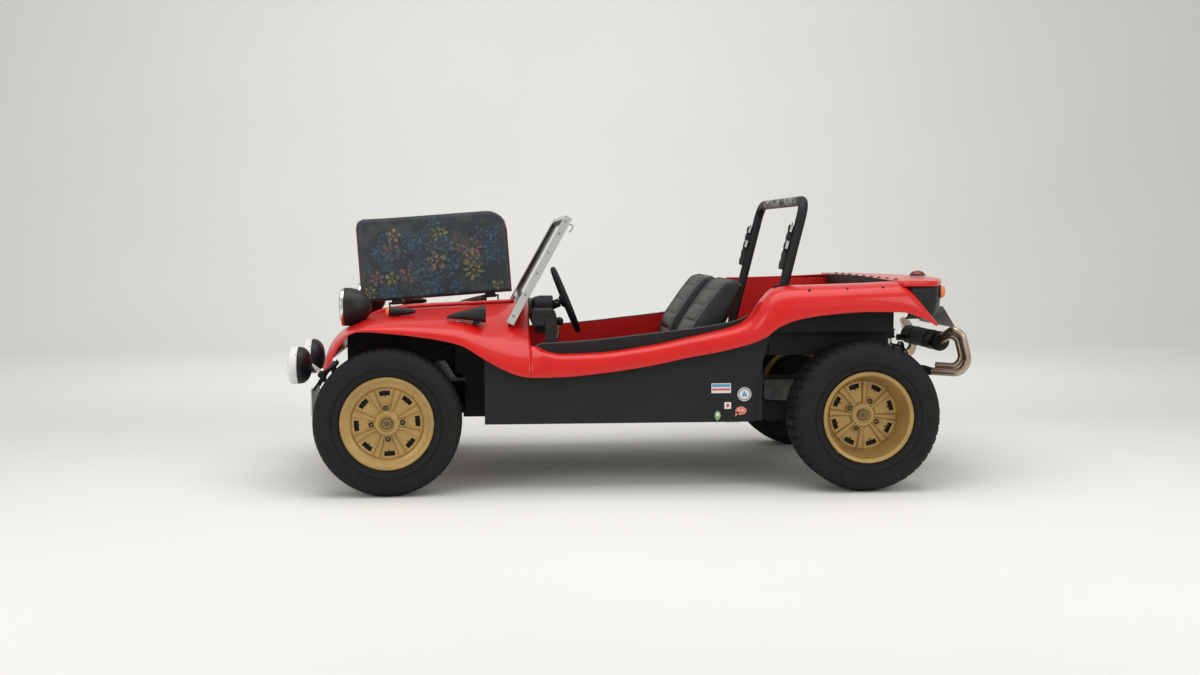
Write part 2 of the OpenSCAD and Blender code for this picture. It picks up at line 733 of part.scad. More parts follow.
module front_axle() color(black) {
  for (z = [front_z - 10, front_z + 130]) rod([beam_x, -beam_end, z], [beam_x, beam_end, z], 56);
  // frame head, back to the floor's tunnel
  translate([fx(60) + gap, -50, front_z - 10]) cube([beam_x - fx(60), 100, 110]);
  difference() {
    mirrored() {
      for (z = [front_z - 10, front_z + 130])
        hull() {
          translate([beam_x, beam_end, z]) rotate([90, 0, 0]) cylinder(r = 30, h = 30, center = true);
          translate([fx(0), beam_end, z - 30]) rotate([90, 0, 0]) cylinder(r = 18, h = 24, center = true);
        }
      for (z = [king_top + 5, king_low - 29])
        translate([fx(20), beam_end, z]) cube([40, pivot_y - beam_end + 20, 24]);
      translate([beam_x - 20, beam_end - 80, front_z - 10]) cube([40, 30, 300]);
      rod([beam_x - 10, beam_end - 40, front_z + 270], [fx(0), beam_end - 26, front_z - 30], 40);
      rod([beam_x - 10, beam_end - 60, front_z + 262], [beam_x - 10, beam_end - 30, front_z + 262], 16);
    }
    mirrored() translate([fx(0), pivot_y, king_low - 40]) cylinder(r = king_r + bore_gap, h = 240);
  }
}

rod_z = front_z - 62;
rod_d = 18;

module knuckle() {
  y = pivot_y;
  arm_x = fx(steer_arm);
  hub_face = (front_track + front_rim_w) / 2 - front_dish - drum_depth;
  translate([fx(0), y, king_low]) cylinder(r = 17, h = king_top - king_low);
  translate([fx(0), y, king_low - 25]) cylinder(r = king_r, h = king_top - king_low + 50);
  translate([fx(0), y, front_z]) rotate([-90, 0, 0]) cylinder(r = 24, h = hub_face - y - 8);
  translate([fx(0), hub_face - 14, front_z]) rotate([-90, 0, 0]) cylinder(r = 112, h = 8);
  translate([fx(0), y, front_z]) rotate([-90, 0, 0]) cylinder(r = stub_r, h = hub_face - y + 45);
  translate([arm_x - 14, y - 10, front_z - 40]) cube([steer_arm + 14, 20, 20]);
  translate([arm_x, y, rod_z + rod_d / 2 + gap]) cylinder(r = 8, h = 30);
}
module knuckle_left() { color(steel) knuckle(); }
module knuckle_right() { color(steel) mirror([0, 1, 0]) knuckle(); }

module steering_rod() color(steel) {
  rod([fx(steer_arm), -pivot_y - 24, rod_z], [fx(steer_arm), pivot_y + 24, rod_z], rod_d);
}

// ---- rear axle, engine and exhaust ----

hub_y = (rear_track + rear_rim_w) / 2 - rear_dish - drum_depth - 8;

engine_front = rx(165);
axle_d = 70;

module rear_axle() color(black) {
  translate([engine_front + gap, -120, rear_z - 90]) cube([rx(-330) - engine_front, 240, 190]);
  mirrored() {
    rod([rx(0), 110, rear_z], [rx(0), hub_y, rear_z], axle_d);
    translate([rx(0), hub_y, rear_z]) rotate([-90, 0, 0]) cylinder(r = stub_r, h = 52);
  }
}

torsion_d = 84;
arm_back = riser_x - skin - gap - torsion_d / 2;
arm_y = (rear_track - rear_tyre_w) / 2 - 60;

module rear_arms() color(black) {
  mirrored() side_plate([
    [arm_back, rear_z - 46], [arm_back, rear_z + 46],
    [rx(-axle_d / 2 - gap), rear_z + 34], [rx(-axle_d / 2 - gap), rear_z - 34]
  ], arm_y, 30);
  rod([arm_back, -arm_y - 40, rear_z], [arm_back, arm_y + 40, rear_z], torsion_d);
}

engine_rear = rx(425);

module engine_block() color([0.35, 0.35, 0.36]) {
  translate([engine_rear, -290, rear_z + 10]) cube([engine_front - engine_rear, 580, 330]);
}

guard_d = 38;
guard_x = rx(rear_overhang) + guard_d / 2 * weld;

module exhaust() color([0.45, 0.36, 0.27]) {
  translate([rx(500), -250, 625]) rotate([-90, 0, 0]) cylinder(d = 96, h = 500);
  mirrored() {
    rod([engine_rear - gap, 200, 612], [rx(500), 200, 612], 36);
    tube_path([
      [rx(430), 330, 490], [guard_x + 40, 400, 488], [guard_x, 400, 540],
      [guard_x + 32, 400, 668], [rx(510), 380, 690], [rx(500), 235, 640]
    ], guard_d);
  }
}

// ---- wheels ----

// Rim with its drum and hub: the outer lip at z = 0, the rest below it.
module rim(width, dish) {
  seat = rim_r - 13;
  well = rim_r - 33;
  t = 5;
  drum_r = 118;
  difference() {
    union() {
      rotate_extrude() polygon([
        [rim_r, 0], [rim_r, -6], [seat, -9], [seat, -30], [well, -42], [well, 45 - width],
        [seat, 28 - width], [seat, 9 - width], [rim_r, 6 - width], [rim_r, -width],
        [seat - t, -width], [seat - t, 26 - width], [well - t, 40 - width], [well - t, -40],
        [seat - t, -28], [rim_r - 10, 0]
      ]);
      translate([0, 0, -dish - 8]) cylinder(r = dish < 38 ? seat - 1 : well - t + 1, h = 8);
      translate([0, 0, -dish - drum_depth]) cylinder(r = drum_r, h = drum_depth - 7);
      translate([0, 0, -dish - 1]) cylinder(r = 36, h = 14);
    }
    for (a = [0 : 90 : 270]) rotate([0, 0, a + 8])
      translate([bolt_circle_r, 0, -dish - 20]) cylinder(r = bolt_hole_r, h = 30);
    for (a = [22.5 : 45 : 359]) rotate([0, 0, a])
      translate([132 - 10, -23, -dish - 9]) cube([20, 46, 12]);
    translate([0, 0, -dish - drum_depth - 1]) cylinder(r = stub_r + bore_gap, h = drum_depth - 6);
  }
}

module tyre(r, width, rim_w) {
  seat = rim_r - 13 + gap;
  mid = -rim_w / 2;
  h = width / 2;
  b = rim_w / 2 - 9;
  side = [
    [seat, b], [seat + 16, b], [seat + 45, h - 6], [seat + 75, h], [r - 30, h - 6], [r - 8, h - 18],
    [r, h - 42]
  ];
  lining = [[r - 16, h - 42], [r - 34, h - 20], [seat + 75, h - 13], [seat + 20, b - 13], [seat, b - 13]];
  rotate_extrude($fn = 96) polygon(concat(
    [for (p = side) [p[0], mid + p[1]]],
    [for (i = [len(side) - 1 : -1 : 0]) [side[i][0], mid - side[i][1]]],
    [for (i = [len(lining) - 1 : -1 : 0]) [lining[i][0], mid - lining[i][1]]],
    [for (p = lining) [p[0], mid + p[1]]]
  ));
}

module at_wheel(axle) {
  x = axle == 0 ? fx(0) : rx(0);
  z = axle == 0 ? front_z : rear_z;
  lip = axle == 0 ? (front_track + front_rim_w) / 2 : (rear_track + rear_rim_w) / 2;
  translate([x, lip, z]) rotate([-90, 0, 0]) children();
}

module rim_at(axle) color(gold) at_wheel(axle)
  rim(axle == 0 ? front_rim_w : rear_rim_w, axle == 0 ? front_dish : rear_dish);
module tyre_at(axle) color(black) at_wheel(axle)
  tyre(axle == 0 ? front_r : rear_r, axle == 0 ? front_tyre_w : rear_tyre_w,
    axle == 0 ? front_rim_w : rear_rim_w);

module rim_front_left() { rim_at(0); }
module rim_front_right() { mirror([0, 1, 0]) rim_at(0); }
module rim_rear_left() { rim_at(1); }
module rim_rear_right() { mirror([0, 1, 0]) rim_at(1); }
module tyre_front_left() { tyre_at(0); }
module tyre_front_right() { mirror([0, 1, 0]) tyre_at(0); }
module tyre_rear_left() { tyre_at(1); }
module tyre_rear_right() { mirror([0, 1, 0]) tyre_at(1); }

// ---- the pieces ----

floor_pan();
footwells();
tub_walls();
body_side_left();
body_side_right();
bonnet_surround();
front_tray();
fuel_tank();
bonnet_hinges();
bonnet_lid();
bonnet_lining();
rear_tub();
rear_wall();
tail_deck();
tail_panel();
dashboard();
windscreen_frame();
windscreen_glass();
steering_column();
steering_wheel();
seat_cushions();
seat_backs();
driver_controls();
roll_bar();
shoulder_belts();
headlamps();
fog_lamps();
front_bracket();
front_signals();
mirrors();
tail_lamps();
number_plate();
front_axle();
knuckle_left();
knuckle_right();
steering_rod();
rear_axle();
rear_arms();
engine_block();
exhaust();
rim_front_left();
rim_front_right();
rim_rear_left();
rim_rear_right();
tyre_front_left();
tyre_front_right();
tyre_rear_left();
tyre_rear_right();
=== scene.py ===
"""Looks of the dune buggy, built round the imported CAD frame. Metres; X forward, Y left, Z up."""
import json
import math
import random

import bmesh
import bpy
from mathutils import Matrix, Vector


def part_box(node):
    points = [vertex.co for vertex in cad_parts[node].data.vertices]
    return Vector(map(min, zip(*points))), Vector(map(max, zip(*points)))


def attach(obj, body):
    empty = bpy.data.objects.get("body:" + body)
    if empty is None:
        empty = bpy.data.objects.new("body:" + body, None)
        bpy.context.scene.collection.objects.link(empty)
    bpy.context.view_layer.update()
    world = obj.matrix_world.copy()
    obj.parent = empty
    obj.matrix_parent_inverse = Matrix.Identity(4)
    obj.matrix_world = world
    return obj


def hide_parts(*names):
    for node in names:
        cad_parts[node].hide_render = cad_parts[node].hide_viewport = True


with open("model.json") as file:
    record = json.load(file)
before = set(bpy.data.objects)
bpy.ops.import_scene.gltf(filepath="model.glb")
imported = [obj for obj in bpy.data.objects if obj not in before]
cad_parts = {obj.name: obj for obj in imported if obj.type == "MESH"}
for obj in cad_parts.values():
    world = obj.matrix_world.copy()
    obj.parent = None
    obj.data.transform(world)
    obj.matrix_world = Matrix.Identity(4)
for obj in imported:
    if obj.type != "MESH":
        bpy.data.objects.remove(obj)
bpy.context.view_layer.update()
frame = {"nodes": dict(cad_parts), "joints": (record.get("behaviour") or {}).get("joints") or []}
random.seed(11)
TAU = 2 * math.pi


# ---------------------------------------------------------------- places
def middle(node):
    low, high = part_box(node)
    return (low + high) / 2


FRONT = middle("tyre_front_left")
REAR = middle("tyre_rear_left")


def fx(back):
    """X of a place given in mm back from the front axle."""
    return FRONT.x - back / 1000


def rx(back):
    return REAR.x - back / 1000


def joint(name):
    return next(j for j in frame["joints"] if j["name"] == name)


# ---------------------------------------------------------------- materials
def material(name, color, rough=0.5, metal=0.0, coat=0.0, vary=0.15, scale=6.0, bump=0.0, bump_scale=300.0,
             alpha=1.0, second=None, mix=(0.45, 0.6), stretch=(1, 1, 1), spec=0.5):
    """Finish whose colour and roughness follow a noise, with a finer noise for its relief."""
    mat = bpy.data.materials.new(name)
    mat.use_nodes = True
    tree = mat.node_tree
    link = tree.links.new
    shader = tree.nodes["Principled BSDF"]

    def node(kind, **inputs):
        made = tree.nodes.new("ShaderNode" + kind)
        for socket, value in inputs.items():
            made.inputs[socket.replace("_", " ")].default_value = value
        return made

    mapping = node("Mapping", Scale=stretch)
    link(node("TexCoord").outputs["Object"], mapping.inputs["Vector"])
    noise = node("TexNoise", Scale=scale, Detail=5)
    link(mapping.outputs[0], noise.inputs["Vector"])
    ramp = node("ValToRGB")
    light = [min(1, c * (1 + vary)) for c in color] if second is None else second
    for end, place, tone in zip(ramp.color_ramp.elements, mix if second else (0.3, 0.7),
                                ([c * (1 - vary) for c in color], light)):
        end.position = place
        end.color = (*tone, 1)
    link(noise.outputs["Fac"], ramp.inputs["Fac"])
    link(ramp.outputs["Color"], shader.inputs["Base Color"])
    gloss = node("MapRange", To_Min=max(0.02, rough - 0.05), To_Max=min(1, rough + 0.07))
    link(noise.outputs["Fac"], gloss.inputs["Value"])
    link(gloss.outputs[0], shader.inputs["Roughness"])
    for socket, value in (("Specular IOR Level", spec), ("Metallic", metal), ("Coat Weight", coat),
                          ("Coat Roughness", 0.06), ("Alpha", alpha)):
        shader.inputs[socket].default_value = value
    if bump:
        grain = node("TexNoise", Scale=bump_scale, Detail=3)
        link(mapping.outputs[0], grain.inputs["Vector"])
        relief = node("Bump", Strength=bump, Distance=0.002)
        link(grain.outputs["Fac"], relief.inputs["Height"])
        link(relief.outputs["Normal"], shader.inputs["Normal"])
    return mat


RED = material("paint_red", (0.60, 0.006, 0.004), rough=0.34, coat=0.35, vary=0.05, scale=3, spec=0.3)
# the red paint of the tub's inside, made darker: painted shade for faces turned inward
RED_INSIDE_PAINTED_SHADE = material("paint_red_inside_painted_shade", (0.46, 0.006, 0.005), rough=0.4, coat=0.2, vary=0.08, scale=4, spec=0.3)
PANEL = material("satin_panel", (0.010, 0.011, 0.011), rough=0.5, vary=0.15, scale=5, bump=0.12, bump_scale=500,
                 spec=0.28)
TRIM = material("satin_trim", (0.045, 0.046, 0.050), rough=0.55, vary=0.12, scale=9, bump=0.2, bump_scale=600)
CHASSIS = material("chassis_black", (0.008, 0.008, 0.008), rough=0.55, vary=0.3, scale=14, bump=0.2, bump_scale=260,
                   spec=0.25)
STEEL = material("bare_steel", (0.66, 0.66, 0.65), rough=0.36, metal=1, vary=0.04, scale=20, stretch=(1, 1, 8))
CHROME = material("chrome", (0.80, 0.80, 0.80), rough=0.08, metal=1, vary=0.06, scale=12)
GLASS = material("window_glass", (0.80, 0.88, 0.88), rough=0.04, vary=0.04, alpha=0.13)
LENS = material("lamp_glass", (0.75, 0.78, 0.80), rough=0.08, coat=0.6, vary=0.12, scale=60)
LAMP = material("lamp_black", (0.010, 0.010, 0.011), rough=0.42, vary=0.2, scale=20, bump=0.15, bump_scale=900,
                spec=0.35)
WHITE = material("cover_white", (0.80, 0.80, 0.78), rough=0.4, vary=0.05, scale=20, bump=0.05)
ORANGE = material("lens_orange", (0.85, 0.20, 0.02), rough=0.22, coat=0.5, vary=0.15, scale=70)
DEEP_RED = material("lens_red", (0.20, 0.012, 0.010), rough=0.25, coat=0.4, vary=0.25, scale=60)
GRIP = material("grip_black", (0.008, 0.008, 0.008), rough=0.55, vary=0.25, scale=40, bump=0.3, bump_scale=900,
                spec=0.25)
VINYL = material("seat_vinyl", (0.010, 0.011, 0.011), rough=0.42, vary=0.2, scale=25, bump=0.35, bump_scale=700,
                 spec=0.35)
WEB = material("webbing", (0.03, 0.03, 0.032), rough=0.8, vary=0.3, scale=90, bump=0.6, bump_scale=1200)
TAPE = material("worn_tape", (0.05, 0.05, 0.055), rough=0.7, scale=26, second=(0.34, 0.33, 0.31), bump=0.3)
CAST = material("cast_metal", (0.30, 0.30, 0.29), rough=0.5, metal=0.8, vary=0.3, scale=22, bump=0.4, bump_scale=350)
BRONZE = material("exhaust_bronze", (0.46, 0.34, 0.24), rough=0.3, metal=0.9, scale=9, second=(0.58, 0.50, 0.42),
                  mix=(0.3, 0.75))
GOLD = material("wheel_gold", (0.40, 0.255, 0.085), rough=0.42, metal=0.35, vary=0.1, scale=12, bump=0.08)
# the wheel gold made darker and rougher: painted shade for the slot walls, bolt heads and cap down in the wheel's
# hollows
GOLD_PAINTED_SHADE = material("wheel_gold_shade", (0.13, 0.085, 0.03), rough=0.6, metal=0.3, vary=0.25, scale=30)
RUBBER = material("tyre_rubber", (0.012, 0.012, 0.012), rough=0.75, vary=0.25, scale=30, bump=0.25, bump_scale=420,
                  spec=0.22)
LINING = material("floral_ground", (0.020, 0.027, 0.033), rough=0.62, scale=14, second=(0.035, 0.042, 0.045),
                  bump=0.2, bump_scale=500)
PAPER = material("decal_white", (0.72, 0.72, 0.70), rough=0.5, vary=0.08, scale=60)
BLUE = material("decal_blue", (0.10, 0.33, 0.55), rough=0.5, vary=0.2, scale=60)
RED_INK = material("decal_red", (0.62, 0.06, 0.03), rough=0.5, vary=0.2, scale=60)
INK = material("decal_black", (0.02, 0.02, 0.02), rough=0.5, vary=0.2, scale=60)
CORAL = material("decal_coral", (0.72, 0.22, 0.16), rough=0.5, vary=0.2, scale=60)
GREEN = material("decal_green", (0.20, 0.36, 0.16), rough=0.5, vary=0.2, scale=60)


def faded(name, color):
    """Print colour that lets the lining's ground show through."""
    return material(name, (0.022, 0.029, 0.034), rough=0.6, scale=60, second=color, mix=(0.36, 0.74))


FLOWERS = [faded("petal_blue", (0.035, 0.10, 0.19)), faded("petal_sand", (0.30, 0.22, 0.11)),
           faded("petal_rose", (0.25, 0.12, 0.10)), faded("petal_olive", (0.24, 0.23, 0.07)),
           faded("petal_steel", (0.06, 0.12, 0.16))]


# ---------------------------------------------------------------- shapes
def pchip(xs, ys):
    """A smooth curve through points that never swings past them."""
    n = len(xs)
    h = [xs[i + 1] - xs[i] for i in range(n - 1)]
    d = [(ys[i + 1] - ys[i]) / h[i] for i in range(n - 1)]
    m = [d[0]] + [0.0] * (n - 2) + [d[-1]]
    for i in range(1, n - 1):
        if d[i - 1] * d[i] > 0:
            a, b = 2 * h[i] + h[i - 1], h[i] + 2 * h[i - 1]
            m[i] = (a + b) / (a / d[i - 1] + b / d[i])

    def at(x):
        x = min(max(x, xs[0]), xs[-1])
        i = 0
        while i < n - 2 and x > xs[i + 1]:
            i += 1
        t = (x - xs[i]) / h[i]
        return ((1 + 2 * t) * (1 - t) ** 2 * ys[i] + t * (1 - t) ** 2 * h[i] * m[i]
                + t * t * (3 - 2 * t) * ys[i + 1] + t * t * (t - 1) * h[i] * m[i + 1])
    return at


def spread(a, b, n):
    return [a + (b - a) * i / (n - 1) for i in range(n)]


def smooth_path(points, steps=6):
    """Catmull-Rom points through a path."""
    p = [Vector(q) for q in points]
    p = [2 * p[0] - p[1]] + p + [2 * p[-1] - p[-2]]
    out = []
    for i in range(1, len(p) - 2):
        for k in range(steps):
            t = k / steps
            out.append(0.5 * (2 * p[i] + (p[i + 1] - p[i - 1]) * t
                              + (2 * p[i - 1] - 5 * p[i] + 4 * p[i + 1] - p[i + 2]) * t * t
                              + (3 * p[i] - p[i - 1] - 3 * p[i + 1] + p[i + 2]) * t ** 3))
    return out + [p[-2]]


def placed(x, y, z, origin):
    """Matrix with these local axes, at origin."""
    m = Matrix((Vector(x), Vector(y), Vector(z))).transposed().to_4x4()
    m.translation = Vector(origin)
    return m


def turned(axis, origin=(0, 0, 0)):
    """Matrix that takes local Z to axis, at origin."""
    z = Vector(axis).normalized()
    x = Vector((0, 0, 1)) if abs(z.z) < 0.9 else Vector((1, 0, 0))
    x = (x - z * x.dot(z)).normalized()
    return placed(x, z.cross(x), z, origin)


def circle(r, n, cx=0.0, cy=0.0):
    return [(cx + r * math.cos(TAU * k / n), cy + r * math.sin(TAU * k / n)) for k in range(n)]


CUBE = [(0, 1, 3, 2), (4, 6, 7, 5), (0, 4, 5, 1), (2, 3, 7, 6), (0, 2, 6, 4), (1, 5, 7, 3)]


class Shape:
    def __init__(self):
        self.verts, self.faces, self.mats = [], [], []

    def add(self, verts, faces, mat=0, m=None):
        n = len(self.verts)
        self.verts += [tuple(m @ Vector(v)) if m else tuple(v) for v in verts]
        self.faces += [tuple(i + n for i in f) for f in faces]
        self.mats += [mat] * len(faces)
        return self

    def box(self, low, high, mat=0, m=None):
        (a, b, c), (d, e, f) = low, high
        v = [(x, y, z) for x in (a, d) for y in (b, e) for z in (c, f)]
        return self.add(v, CUBE, mat, m)

    def cap(self, ring, mat=0, m=None):
        return self.add(ring, [tuple(range(len(ring)))], mat, m)

    def between(self, low, high, mat=0, m=None):
        """Closed solid between two like outlines."""
        n = len(low)
        faces = [tuple(range(n))[::-1], tuple(range(n, 2 * n))]
        faces += [(k, (k + 1) % n, n + (k + 1) % n, n + k) for k in range(n)]
        return self.add([*low, *high], faces, mat, m)

    def grid(self, rows, mat=0, m=None, wrap=False, skip=None):
        n = len(rows[0])
        verts = [p for row in rows for p in row]
        faces = []
        for i in range(len(rows) - 1):
            for k in range(n if wrap else n - 1):
                if skip is None or not skip(i, k):
                    j = (k + 1) % n
                    faces.append((i * n + k, i * n + j, (i + 1) * n + j, (i + 1) * n + k))
        return self.add(verts, faces, mat, m)

    def lathe(self, profile, mat=0, m=None, n=48, closed=False, caps=True):
        """profile: (radius, height) pairs about local Z."""
        rings = [[(x, y, h) for x, y in circle(r, n)] for r, h in (profile + profile[:1] if closed else profile)]
        self.grid(rings, mat, m, wrap=True)
        if caps and not closed:
            for ring in (rings[0], rings[-1]):
                if abs(ring[0][0]) + abs(ring[0][1]) > 1e-6:
                    self.cap(ring, mat, m)
        return self

    def rod(self, a, b, r, mat=0, r2=None, n=20):
        v = Vector(b) - Vector(a)
        return self.lathe([(r, 0), (r if r2 is None else r2, v.length)], mat, turned(v, a), n)

    def tube(self, path, r, mat=0, n=14, loop=False, section=None):
        """section: local (u, v) points instead of a circle of radius r."""
        path = [Vector(p) for p in path]
        count = len(path)
        side = None
        rings = []
        for i, p in enumerate(path):
            before = path[i - 1] if i or loop else p
            after = path[(i + 1) % count] if i < count - 1 or loop else p
            d = (after - before).normalized()
            if side is None:
                side = d.cross(Vector((0, 0, 1)) if abs(d.z) < 0.9 else Vector((0, 1, 0))).normalized()
            side = (side - d * side.dot(d)).normalized()
            up = d.cross(side)
            outline = section or circle(r, n)
            rings.append([tuple(p + side * u + up * w) for u, w in outline])
        if loop:
            rings.append(rings[0])
        self.grid(rings, mat, wrap=True)
        if not loop:
            self.cap(rings[0], mat).cap(rings[-1], mat)
        return self

    def prism(self, outline, low, high, mat=0, m=None):
        """outline in local x-y, from height low to high."""
        return self.between([(x, y, low) for x, y in outline], [(x, y, high) for x, y in outline], mat, m)

    def plate(self, outline, y0, y1, mat=0):
        """outline in x-z, between two values of y."""
        return self.between([(x, y0, z) for x, z in outline], [(x, y1, z) for x, z in outline], mat)

    def ball(self, at, r, mat=0, n=20, squash=(1, 1, 1)):
        prof = [(r * math.sin(math.pi * k / 10), -r * math.cos(math.pi * k / 10)) for k in range(11)]
        m = Matrix.Translation(Vector(at)) @ Matrix.Diagonal((*squash, 1))
        return self.lathe(prof, mat, m, n)

    def mirrored(self):
        n = len(self.verts)
        self.verts += [(x, -y, z) for x, y, z in self.verts]
        self.faces += [tuple(i + n for i in f)[::-1] for f in self.faces]
        self.mats += self.mats[:]
        return self


def round_edges(obj, width, segments=2):
    mod = obj.modifiers.new("edge", "BEVEL")
    mod.width = width
    mod.segments = segments
    mod.limit_method = "ANGLE"
    mod.angle_limit = math.radians(40)
    mod.harden_normals = False


def thicken(obj, thickness, offset):
    mod = obj.modifiers.new("thick", "SOLIDIFY")
    mod.thickness = thickness
    mod.offset = offset


def linked(obj):
    bpy.context.scene.collection.objects.link(obj)
    return obj


def make(name, shape, mats, body="chassis", replaces=(), angle=38, bevel=0.0, thick=0.0):
    mesh = bpy.data.meshes.new(name)
    mesh.from_pydata(shape.verts, [], shape.faces)
    for m in mats if isinstance(mats, (list, tuple)) else [mats]:
        mesh.materials.append(m)
    mesh.polygons.foreach_set("material_index", shape.mats)
    bm = bmesh.new()
    bm.from_mesh(mesh)
    bmesh.ops.remove_doubles(bm, verts=bm.verts, dist=1e-5)
    bmesh.ops.recalc_face_normals(bm, faces=bm.faces)
    bm.to_mesh(mesh)
    bm.free()
    mesh.polygons.foreach_set("use_smooth", [True] * len(mesh.polygons))
    mesh.set_sharp_from_angle(angle=math.radians(angle))
    mesh.update()
    obj = linked(bpy.data.objects.new(name, mesh))
    if thick:
        thicken(obj, thick, -1)
    if bevel:
        round_edges(obj, bevel)
    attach(obj, body)
    if replaces:
        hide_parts(*replaces)
    return obj


LOAD_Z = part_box("roll_bar")[0].z - 0.010  # just under the floor that the roll bar stands on


def dress(node, mat, bevel=0.0, outside=None):
    """Keeps a CAD node as it is and gives it a finish, and another on the faces turned away from its middle."""
    obj = frame["nodes"][node]
    obj.data.materials.clear()
    obj.data.materials.append(mat)
    if outside:
        obj.data.materials.append(outside)
        turn, centre = obj.matrix_world.to_3x3(), middle(node)
        for face in obj.data.polygons:
            away = obj.matrix_world @ face.center - centre
            normal = turn @ face.normal
            if normal.z < 0.5:
                under = normal.z < -0.5 or away.z + centre.z < LOAD_Z
                face.material_index = int(under or Vector(away.xy).dot(normal.xy) > 0)
    if bevel:
        round_edges(obj, bevel)


# ---------------------------------------------------------------- moulded body
HATCH_Y = 0.2003
HATCH_FRONT, HATCH_REAR, COWL = -195.0, 565.0, 622.0
TUB_Y = 0.6203
# back from the front axle: height of the centre, drop of the shoulder, half width, height of the lip
NOSE_ROWS = [
    (-283, 575, 0, 590, 548), (-268, 645, 5, 622, 552), (-250, 680, 8, 644, 567), (-209, 714, 10, 668, 644),
    (-150, 746, 20, 690, 708), (-95, 768, 22, 700, 722), (0, 785, 22, 700, 715), (150, 795, 30, 700, 697),
    (315, 803, 50, 698, 662), (405, 808, 85, 694, 609), (490, 812, 120, 690, 559), (575, 815, 150, 688, 525),
    (622, 817, 155, 688, 517),
]
# the same behind the cowl: height and half width of the inner edge, drop, half width, height of the lip
BELT_ROWS = [
    (622, 652, 620.3, 0, 688, 517), (680, 628, 620.3, 0, 688, 517), (760, 612, 620.3, 0, 688, 519),
    (890, 615, 620.3, 0, 688, 530), (1140, 645, 620.3, 0, 690, 565), (1310, 680, 620.3, 0, 696, 601),
    (1425, 705, 620.3, 0, 705, 622), (1527, 732, 620.3, 0, 715, 646), (1595, 775, 620.3, 0, 732, 668),
    (1645, 850, 617, 0, 746, 692), (1700, 896, 598, 0, 756, 735), (1790, 909, 598, 2, 760, 770),
    (1920, 913, 598, 2, 760, 790), (2100, 919, 598, 2, 760, 802), (2258, 925, 598, 2, 760, 799),
    (2300, 886, 700, 20, 756, 787), (2360, 815, 714, 20, 748, 765), (2412, 752, 704, 5, 738, 736),
]
BULGE = 0.006


def bezier(c, t):
    u = 1 - t
    return c[0] * u ** 3 + 3 * c[1] * u * u * t + 3 * c[2] * u * t * t + c[3] * t ** 3


def columns(rows):
    keys = [r[0] for r in rows]
    return [pchip(keys, [r[c] / 1000 for r in rows]) for c in range(1, len(rows[0]))]


nose_z, nose_drop, nose_w, nose_lip = columns(NOSE_ROWS)
belt_z, belt_in, belt_drop, belt_w, belt_lip = columns(BELT_ROWS)


def control(inner, z, drop, w, lip):
    return [Vector((inner, z)), Vector(((inner + w) / 2, z - 0.3 * drop)), Vector((w + BULGE, z - drop)),
            Vector((w, lip))]


def nose_control(back):
    return control(HATCH_Y, nose_z(back), nose_drop(back), nose_w(back), nose_lip(back))


def ridge(back, y):
    """Long raised mouldings on the front fender's top."""
    if not -140 < back < 560:
        return 0.0
    fade = math.sin(math.pi * (back + 140) / 700) ** 0.5
    return fade * sum(0.0045 * math.exp(-((y - c) / 0.013) ** 2) for c in (0.255, 0.315))


def nose_section(back, count=24):
    c = nose_control(back)
    line = [(HATCH_Y * k / 6, nose_z(back)) for k in range(6)]
    for i in range(count + 1):
        p = bezier(c, i / count)
        line.append((p.x, p.y + ridge(back, p.x)))
    w, lip = c[3]
    fold = 0.001 if back < -120 else 0.005
    line += [(w - 0.003, lip - fold), (w - 0.008, lip - fold)]
    return [(fx(back), y, z) for y, z in line]


def body_front():
    backs = (spread(-283, -250, 9) + spread(-250, HATCH_FRONT, 9)[1:] + spread(HATCH_FRONT, HATCH_REAR, 76)[1:]
             + spread(HATCH_REAR, COWL, 6)[1:])
    rows = [nose_section(b) for b in backs]
    # turn the nose's lower edge in
    turns = [min(1.0, max(0.0, (0.46 - y) / 0.08)) for _, y, _ in rows[0]]
    rows.insert(0, [(x - 0.010 * turn, y, z - 0.006 * turn) for (x, y, z), turn in zip(rows[0], turns)])
    backs.insert(0, backs[0])
    shape = Shape()
    shape.grid(rows, skip=lambda i, k: k < 6 and backs[i] >= HATCH_FRONT - 0.1 and backs[i + 1] <= HATCH_REAR + 0.1)
    shape.mirrored()
    # turned-down edge round the hatch
    edge = [(fx(HATCH_FRONT), 0.0), (fx(HATCH_FRONT), HATCH_Y)]
    edge += [(fx(b), HATCH_Y) for b in spread(HATCH_FRONT, HATCH_REAR, 30)[1:]] + [(fx(HATCH_REAR), 0.0)]
    top = [(x, y, nose_z((FRONT.x - x) * 1000)) for x, y in edge]
    low = [(x, y, z - 0.022) for x, y, z in top]
    shape.grid([top, low])
    shape.grid([[(x, -y, z) for x, y, z in row] for row in (top, low)])
    make("body_front", shape, RED, replaces=["bonnet_surround"], thick=0.005, angle=50)


def belt_section(back, count=22):
    inner = belt_in(back)
    c = control(inner, belt_z(back), belt_drop(back), belt_w(back), belt_lip(back))
    own = [bezier(c, i / count) for i in range(count + 1)]
    mix = min(1.0, max(0.0, (back - COWL) / 70))
    if mix < 1:
        front = nose_control(COWL)
        start = next(t / 400 for t in range(400) if bezier(front, t / 400).x >= TUB_Y)
        other = [bezier(front, start + (1 - start) * i / count) for i in range(count + 1)]
        ease = mix * mix * (3 - 2 * mix)
        own = [a.lerp(b, ease) for a, b in zip(other, own)]
    w, lip = own[-1]
    line = [(p.x, p.y) for p in own] + [(w - 0.003, lip - 0.005), (w - 0.012, lip - 0.006)]
    return [(fx(back), y, z) for y, z in line]


def body_side(sign, name, node):
    backs = spread(COWL - 2, 1527, 76) + spread(1527, 1720, 24)[1:] + spread(1720, 2412, 62)[1:]
    rows = [[(x, sign * y, z) for x, y, z in belt_section(b)] for b in backs]
    shape = Shape().grid(rows)
    make(name, shape, RED, replaces=[node], thick=0.005, angle=50)


